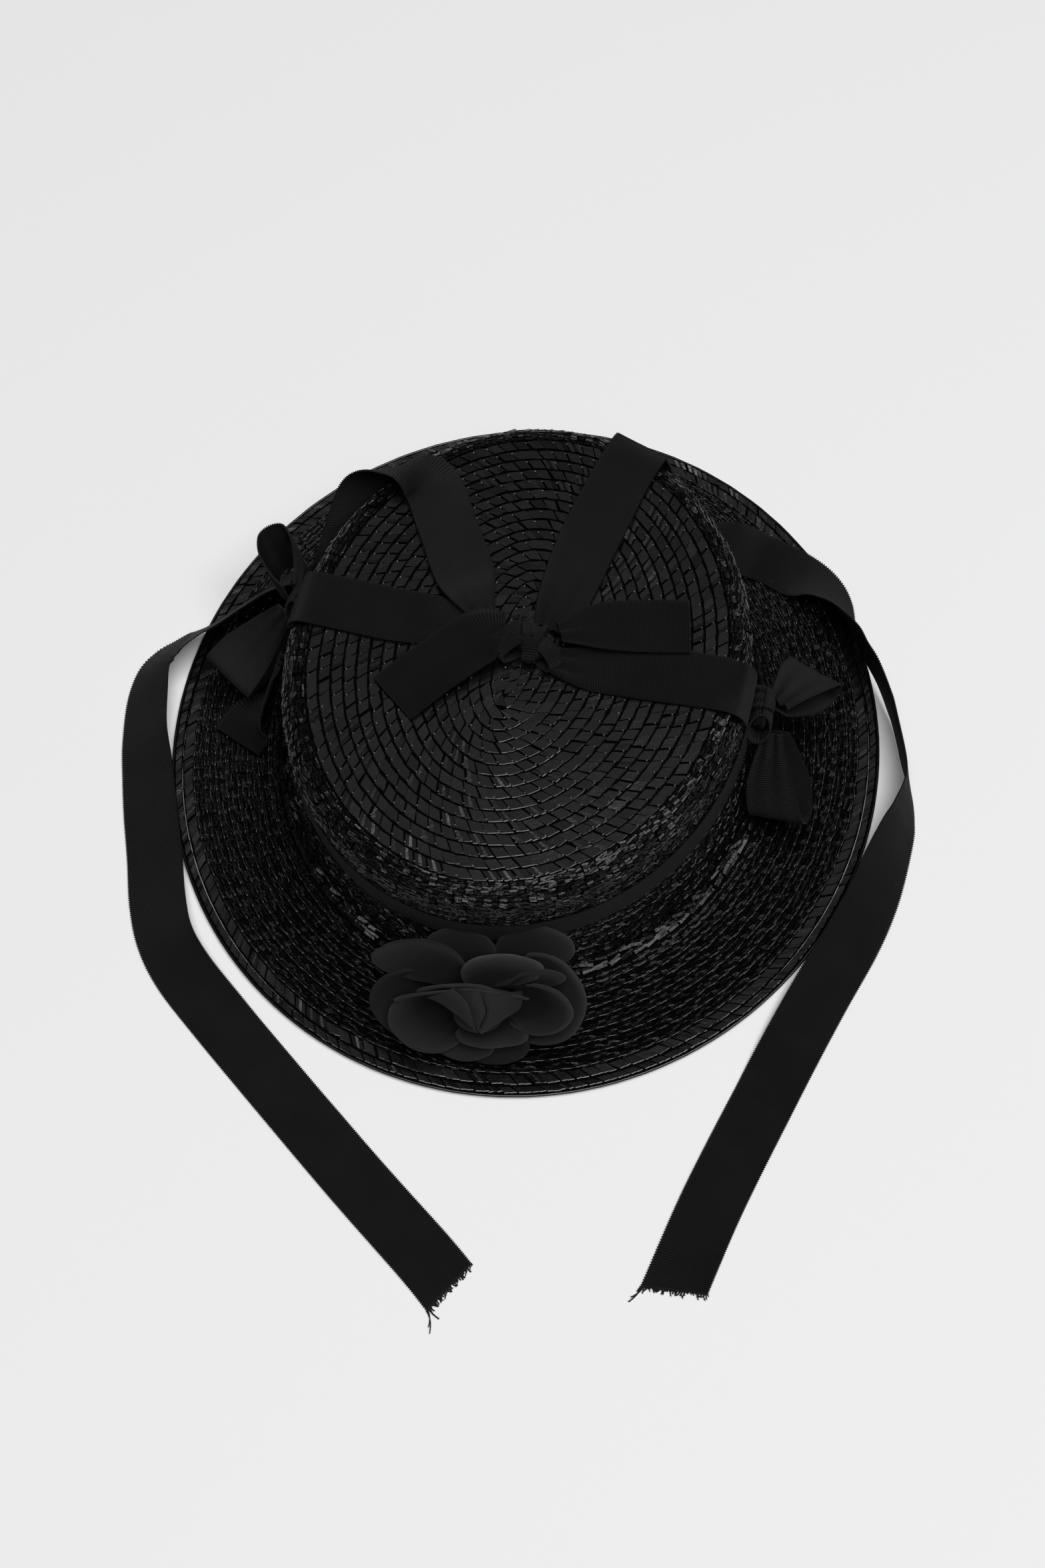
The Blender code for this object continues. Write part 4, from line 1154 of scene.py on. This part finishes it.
def make_fray(name, rows, slant, seed):
    """Loose threads at a ribbon's cut end, with a longer tuft at one side."""
    draws = random.Random(seed)
    middle, reach, _ = rows[-1]
    ahead = (middle - rows[-3][0]).normalized()
    side = reach.normalized()
    points = []
    faces = []
    for number in range(FRAY_THREADS):
        share = -1 + 2 * number / (FRAY_THREADS - 1)
        tuft = TUFT_LENGTH * max(0, share - TUFT_START) / (1 - TUFT_START)
        length = draws.uniform(0.2, 1) * (FRAY_LENGTH + tuft)
        bend = draws.uniform(-0.7, 0.7)
        start = middle + reach * share * 0.98 + ahead * (slant * share - FRAY_ROOT)
        start.z = THREAD * 0.6
        for step in range(FRAY_STEPS + 1):
            along = step / FRAY_STEPS
            spot = start + ahead * (along * length + FRAY_ROOT) + side * (bend * length * along * along)
            spot.z += THREAD * draws.uniform(0, 1.5) * along
            for across, up in ((-0.5, -0.5), (0.5, -0.5), (0.5, 0.5), (-0.5, 0.5)):
                points.append(spot + (side * across + UP * up) * THREAD)
            if step:
                first = len(points) - 8
                for corner in range(4):
                    after = (corner + 1) % 4
                    faces.append((first + corner, first + after, first + 4 + after, first + 4 + corner))
        last = len(points) - 4
        faces.append((last, last + 1, last + 2, last + 3))
    places = [(point.x * 100, RIB_PITCH * UV_SCALE) for point in points]
    return woven_mesh(name, points, faces, places, "black_grosgrain")


def make_band():
    """The band round the crown. Its ribs lean, as on a ribbon that was pulled to lie round a taper."""
    rows = []
    lift = GAP + RIBBON_THICKNESS / 2
    lean = BAND_RIB_LEAN / (CROWN_HALF_WIDTH + CROWN_HALF_LENGTH)
    for number in range(361):
        turn = radians(number)
        low = side_surface(turn + lean, BAND_FOOT / CROWN_HEIGHT, lift)[0]
        high = side_surface(turn - lean, (BAND_FOOT + BAND_WIDTH) / CROWN_HEIGHT, lift)[0]
        rows.append(((low + high) / 2, (high - low) / 2))
    rows = even_rows(rows)
    band = ribbed_cloth("band_ribbon", rows, ripple=0, seed=3)
    settle(band, "hat_band")


def knot_seat(side):
    """Middle of a side bow's knot, against the band."""
    share = (BAND_FOOT + RIBBON_WIDTH * 0.5) / CROWN_HEIGHT
    lift = 2 * GAP + RIBBON_THICKNESS + SIDE_KNOT_DEPTH * (KNOT_ROUNDING + 0.01)
    return side_surface(radians(SIDE_KNOT_TURNS[side]), share, lift)


def knot_reach(way, out):
    """How far a side knot reaches from its middle along a direction."""
    flat = levelled(out).normalized()
    along = UP.cross(flat)
    shares = (way.dot(flat) / SIDE_KNOT_DEPTH, way.dot(along) / SIDE_KNOT_LENGTH, way.z / SIDE_KNOT_HEIGHT)
    return KNOT_ROUNDING / sqrt(sum(share * share for share in shares))


def cloth_ball(name, segments, folded, flat, place, finish):
    """A ball of cloth: one function folds its round points, and one lays them on the flat cloth."""
    ball = added(bpy.ops.mesh.primitive_uv_sphere_add, name, segments=segments, ring_count=24, radius=1)
    for vertex in ball.data.vertices:
        vertex.co = folded(vertex.co)
    lay_uvs(ball.data, [flat(vertex.co) for vertex in ball.data.vertices])
    ball.data.transform(place)
    bpy.ops.object.shade_smooth()
    return dyed(ball, finish)


def make_knot(node, centre, sizes, turn, seed):
    """The inside of a pulled knot: a small cushion of folds that the wraps lie round."""

    def folded(spot):
        fold = 0.1 * sin(spot.x * 5 + spot.y * 3 + seed)
        fold += 0.05 * noise.noise(spot * 2 + Vector((seed, 0, 0)))
        return spot * (1 + fold)

    def flat(spot):
        return spot.y * sizes[1] * KNOT_UV_SCALE, spot.x * sizes[0] * KNOT_UV_SCALE

    place = Matrix.Translation(centre) @ turn @ Matrix.Diagonal((*[size * KNOT_CORE for size in sizes], 1))
    settle(cloth_ball(node + "_folds", 64, folded, flat, place, "black_grosgrain"), node)


def make_wrap(node, number, place, across, rise, width, pinch, seed):
    """One turn of ribbon round a knot. It lies round its own Y and is pulled narrower at its +X side."""
    rows = []
    for step in range(WRAP_STEPS + 1):
        turn = 2 * pi * step / WRAP_STEPS + pi / 2
        middle = place @ Vector((across * cos(turn), 0, rise * sin(turn)))
        squeeze = 1 - pinch * (0.5 + 0.5 * cos(turn))
        rows.append((middle, place.to_3x3() @ Vector((0, width / 2 * squeeze, 0))))
    rows = even_rows(rows)
    crease = WRAP_CREASE * sin(seed)
    wrap = ribbed_cloth(f"{node}_wrap_{number}", rows, ripple=WRAP_RIPPLE, seed=seed, pleat=crease)
    settle(wrap, node)


def make_knots():
    rise = CROWN_HEIGHT + REST_GAP + TOP_KNOT_HEIGHT * KNOT_ROUNDING
    middle = HAT + Vector((CROWN_SHIFT + TOP_KNOT_SIDE, TOP_KNOT_BACK, rise))
    sizes = (TOP_KNOT_LENGTH, TOP_KNOT_WIDTH, TOP_KNOT_HEIGHT)
    make_knot("top_knot", middle, sizes, rotation(TOP_KNOT_TURN, "Z"), 1)
    for number, (side, back, up, turn, tip, *shape) in enumerate(TOP_WRAPS, 1):
        turned = rotation(turn, "Z") @ rotation(tip, "X")
        place = Matrix.Translation(middle + Vector((side, back, up))) @ turned
        make_wrap("top_knot", number, place, *shape, number + 10)
    sizes = (SIDE_KNOT_DEPTH, SIDE_KNOT_LENGTH, SIDE_KNOT_HEIGHT)
    for side in SIDE_KNOT_TURNS:
        centre, out = knot_seat(side)
        turn = Matrix.Rotation(atan2(out.y, out.x), 4, "Z")
        make_knot(side + "_knot", centre, sizes, turn, 2)
        for number, (along, up, tip, *shape) in enumerate(SIDE_WRAPS, 1):
            beside = Vector((-out.y, out.x, 0)) * along + UP * up
            place = Matrix.Translation(centre + beside) @ turn @ rotation(tip, "X")
            make_wrap(side + "_knot", number, place, *shape, number + 4)


def make_loop(node, side, heading, pitch, roll, length_share, opening_share, outset):
    """One loop of a side bow, open at both edges of the ribbon, with pleats where the knot pulls it in."""
    centre, out = knot_seat(side)
    turned = rotation(heading, "Z", 3) @ rotation(-pitch, "Y", 3) @ rotation(roll, "X", 3)
    ahead = turned @ Vector((1, 0, 0))
    start = centre + out * SIDE_KNOT_DEPTH * outset + ahead * (knot_reach(ahead, out) + REST_GAP)
    spots = [
        Vector((along * LOOP_LENGTH * length_share, width, across * LOOP_OPENING * opening_share))
        for along, across, width in LOOP_ROWS
    ]
    rows = []
    for index, part in curve_path(len(spots), LOOP_STEPS):
        spot = between(spots, index, part)
        middle = start + turned @ Vector((spot.x, 0, spot.z))
        rows.append((middle, turned @ Vector((0, spot.y * RIBBON_WIDTH / 2, 0))))
    rows = even_rows(rows)
    loop = ribbed_cloth(node + "_ribbon", rows, seed=heading, pleat=PLEAT_DEPTH)
    settle(loop, node)


def flower_place():
    """The flower leans back from the brim against the crown's wall."""
    lean = radians(FLOWER_LEAN)
    rise = FLOWER_HALF_DEPTH * sin(lean) - FLOWER_SINK
    back = wall_halves(BAND_FOOT / CROWN_HEIGHT)[1] + FLOWER_HALF_DEPTH * cos(lean)
    seat = HAT + Vector((FLOWER_SIDE, FLOWER_SETBACK - back, brim_top(1) + rise))
    return Matrix.Translation(seat) @ Matrix.Rotation(lean, 4, "X")


def cut_cloth(name, node, grid, finish):
    """Sews a grid of points into one piece of petal cloth. Each point has its place on the flat cloth."""
    cells = [cell for line in grid for cell in line]
    points = [point for point, _ in cells]
    places = [place for _, place in cells]
    petal = woven_mesh(name, points, grid_faces(len(grid), len(grid[0])), places, finish)
    thicken(petal, PETAL_THICKNESS, 0, 50)
    settle(petal, node)


def rim_height(first, middle, last, share):
    """A curve through three heights."""
    swell = middle - (first + last) / 2
    return first + (last - first) * share + swell * sin(pi * share)


def make_petal(stand, row):
    """A petal of cloth: it rises from its root, bulges and rolls over at its rim."""
    name, node, side, up, wide, deep, first, last, low, high, end, root_share, root, bulge, curl = row
    lines = []
    for column in range(PETAL_COLUMNS + 1):
        share = column / PETAL_COLUMNS
        turn = radians(first + (last - first) * share)
        taper = RIM_TAPER * abs(2 * share - 1) ** 6
        shrink = 1 - taper + RIM_WAVE * noise.noise(Vector((share * 5, side * 9, up * 9)))
        rim = Vector((side + wide * cos(turn), up + deep * sin(turn), rim_height(low, high, end, share)))
        start = Vector((rim.x * root_share, rim.y * root_share, root))
        reach = start.lerp(rim, shrink)

        def place(out):
            spot = start.lerp(reach, out)
            spot.z = start.z + (reach.z - start.z) * out ** 1.3 + bulge * sin(pi * out)
            spot.z += CREASE_DEPTH * noise.noise(Vector((spot.x * 4, spot.y * 4, curl)))
            return spot * FLOWER_SIZE

        edge = place(ROLL_START)
        ahead = edge - place(ROLL_START - 0.04)
        level = levelled(ahead)
        rise = atan2(ahead.z, level.length)
        level.normalize()
        line = []
        for number in range(PETAL_ROWS + 1):
            out = number / PETAL_ROWS
            spot = place(out)
            if out > ROLL_START:
                turned = (out - ROLL_START) / (1 - ROLL_START) * radians(curl)
                away = level * (sin(rise) - sin(rise - turned)) + UP * (cos(rise - turned) - cos(rise))
                spot = edge + away * PETAL_ROLL
            flat = (share - 0.5) * wide * abs(radians(last - first)) * PETAL_UV_WIDTH
            line.append((stand @ spot, (flat, out * PETAL_UV_LENGTH)))
        lines.append(line)
    cut_cloth(name + "_petal", "petal_" + node, lines, PETAL_PAINTED_LIGHT.get(name, "charcoal_cloth"))


def make_flap(stand, name, node, outer, inner):
    """A flap of the heart between its outer and its inner edge, with a rounded fold along the inner one."""
    uv_start, uv_length, uv_width = FLAP_UV
    outer, inner = ([Vector(point) for point in edge] for edge in (outer, inner))
    lines = []
    for row in range(FLAP_ROWS + 1):
        part = row / FLAP_ROWS
        line = []
        for column in range(FLAP_COLUMNS + 1):
            share = column / FLAP_COLUMNS
            along = 3 * share
            index = min(2, int(along))
            spot = between(outer, index, along - index).lerp(between(inner, index, along - index), part)
            spot.z += 0.07 * sin(pi * part) - max(0, part - 0.9)
            flat = (share * uv_width, PETAL_UV_LENGTH * (uv_start + uv_length * part))
            line.append((stand @ (spot * FLOWER_SIZE), flat))
        lines.append(line)
    cut_cloth(name + "_flap", node, lines, "charcoal_cloth")


def make_flower():
    shift = Matrix.Translation((FLOWER_SHIFT, FLOWER_RAISE, 0)) @ rotation(FLOWER_TURN, "Z")
    stand = flower_place() @ shift @ Matrix.Diagonal((FLOWER_SPREAD, FLOWER_SPREAD, 1, 1))
    for row in PETALS:
        make_petal(stand, row)
    for flap in FLAPS:
        make_flap(stand @ Matrix.Translation((0, HEART_RAISE, 0)), *flap)
    size = FLOWER_HALF_DEPTH * BUD_SHARE
    stretch = Matrix.Diagonal((size * 1.2, size * 0.9, FLOWER_HEIGHT * BUD_HEIGHT_SHARE, 1))
    place = Matrix.Translation((0.0015, -FLOWER_HALF_DEPTH * 0.16, FLOWER_HEIGHT * BUD_RISE * 0.75))
    heart = stand @ place @ stretch
    # The bud's UV lies at the root end of the petals' cloth, so the petals' painted shade darkens it
    # strongly
    bud = cloth_ball("bud_cloth", 48, Vector.copy, lambda spot: spot.xy, heart, "charcoal_cloth")
    settle(bud, "flower_bud")


place_camera()
light_studio()
lay_floor()

finishes = {row[0]: straw_finish(*row) for row in STRAWS}
finishes[GROSGRAIN[0]] = woven_finish(*GROSGRAIN, GROSGRAIN_THREADS_AND_GROOVE_SHADE)
for cloth in PETAL_CLOTHS:
    finishes[cloth[0]] = woven_finish(*cloth, PETAL_THREADS, PETAL_PAINTED_SHADE)

make_crown(random.Random(3))
make_brim(random.Random(5))
make_rolled_edge(random.Random(7))
make_band()
for seed, ribbon in enumerate(RIBBONS, 1):
    make_ribbon(*ribbon, seed)
make_knots()
for loop in LOOPS:
    make_loop(*loop)
make_flower()
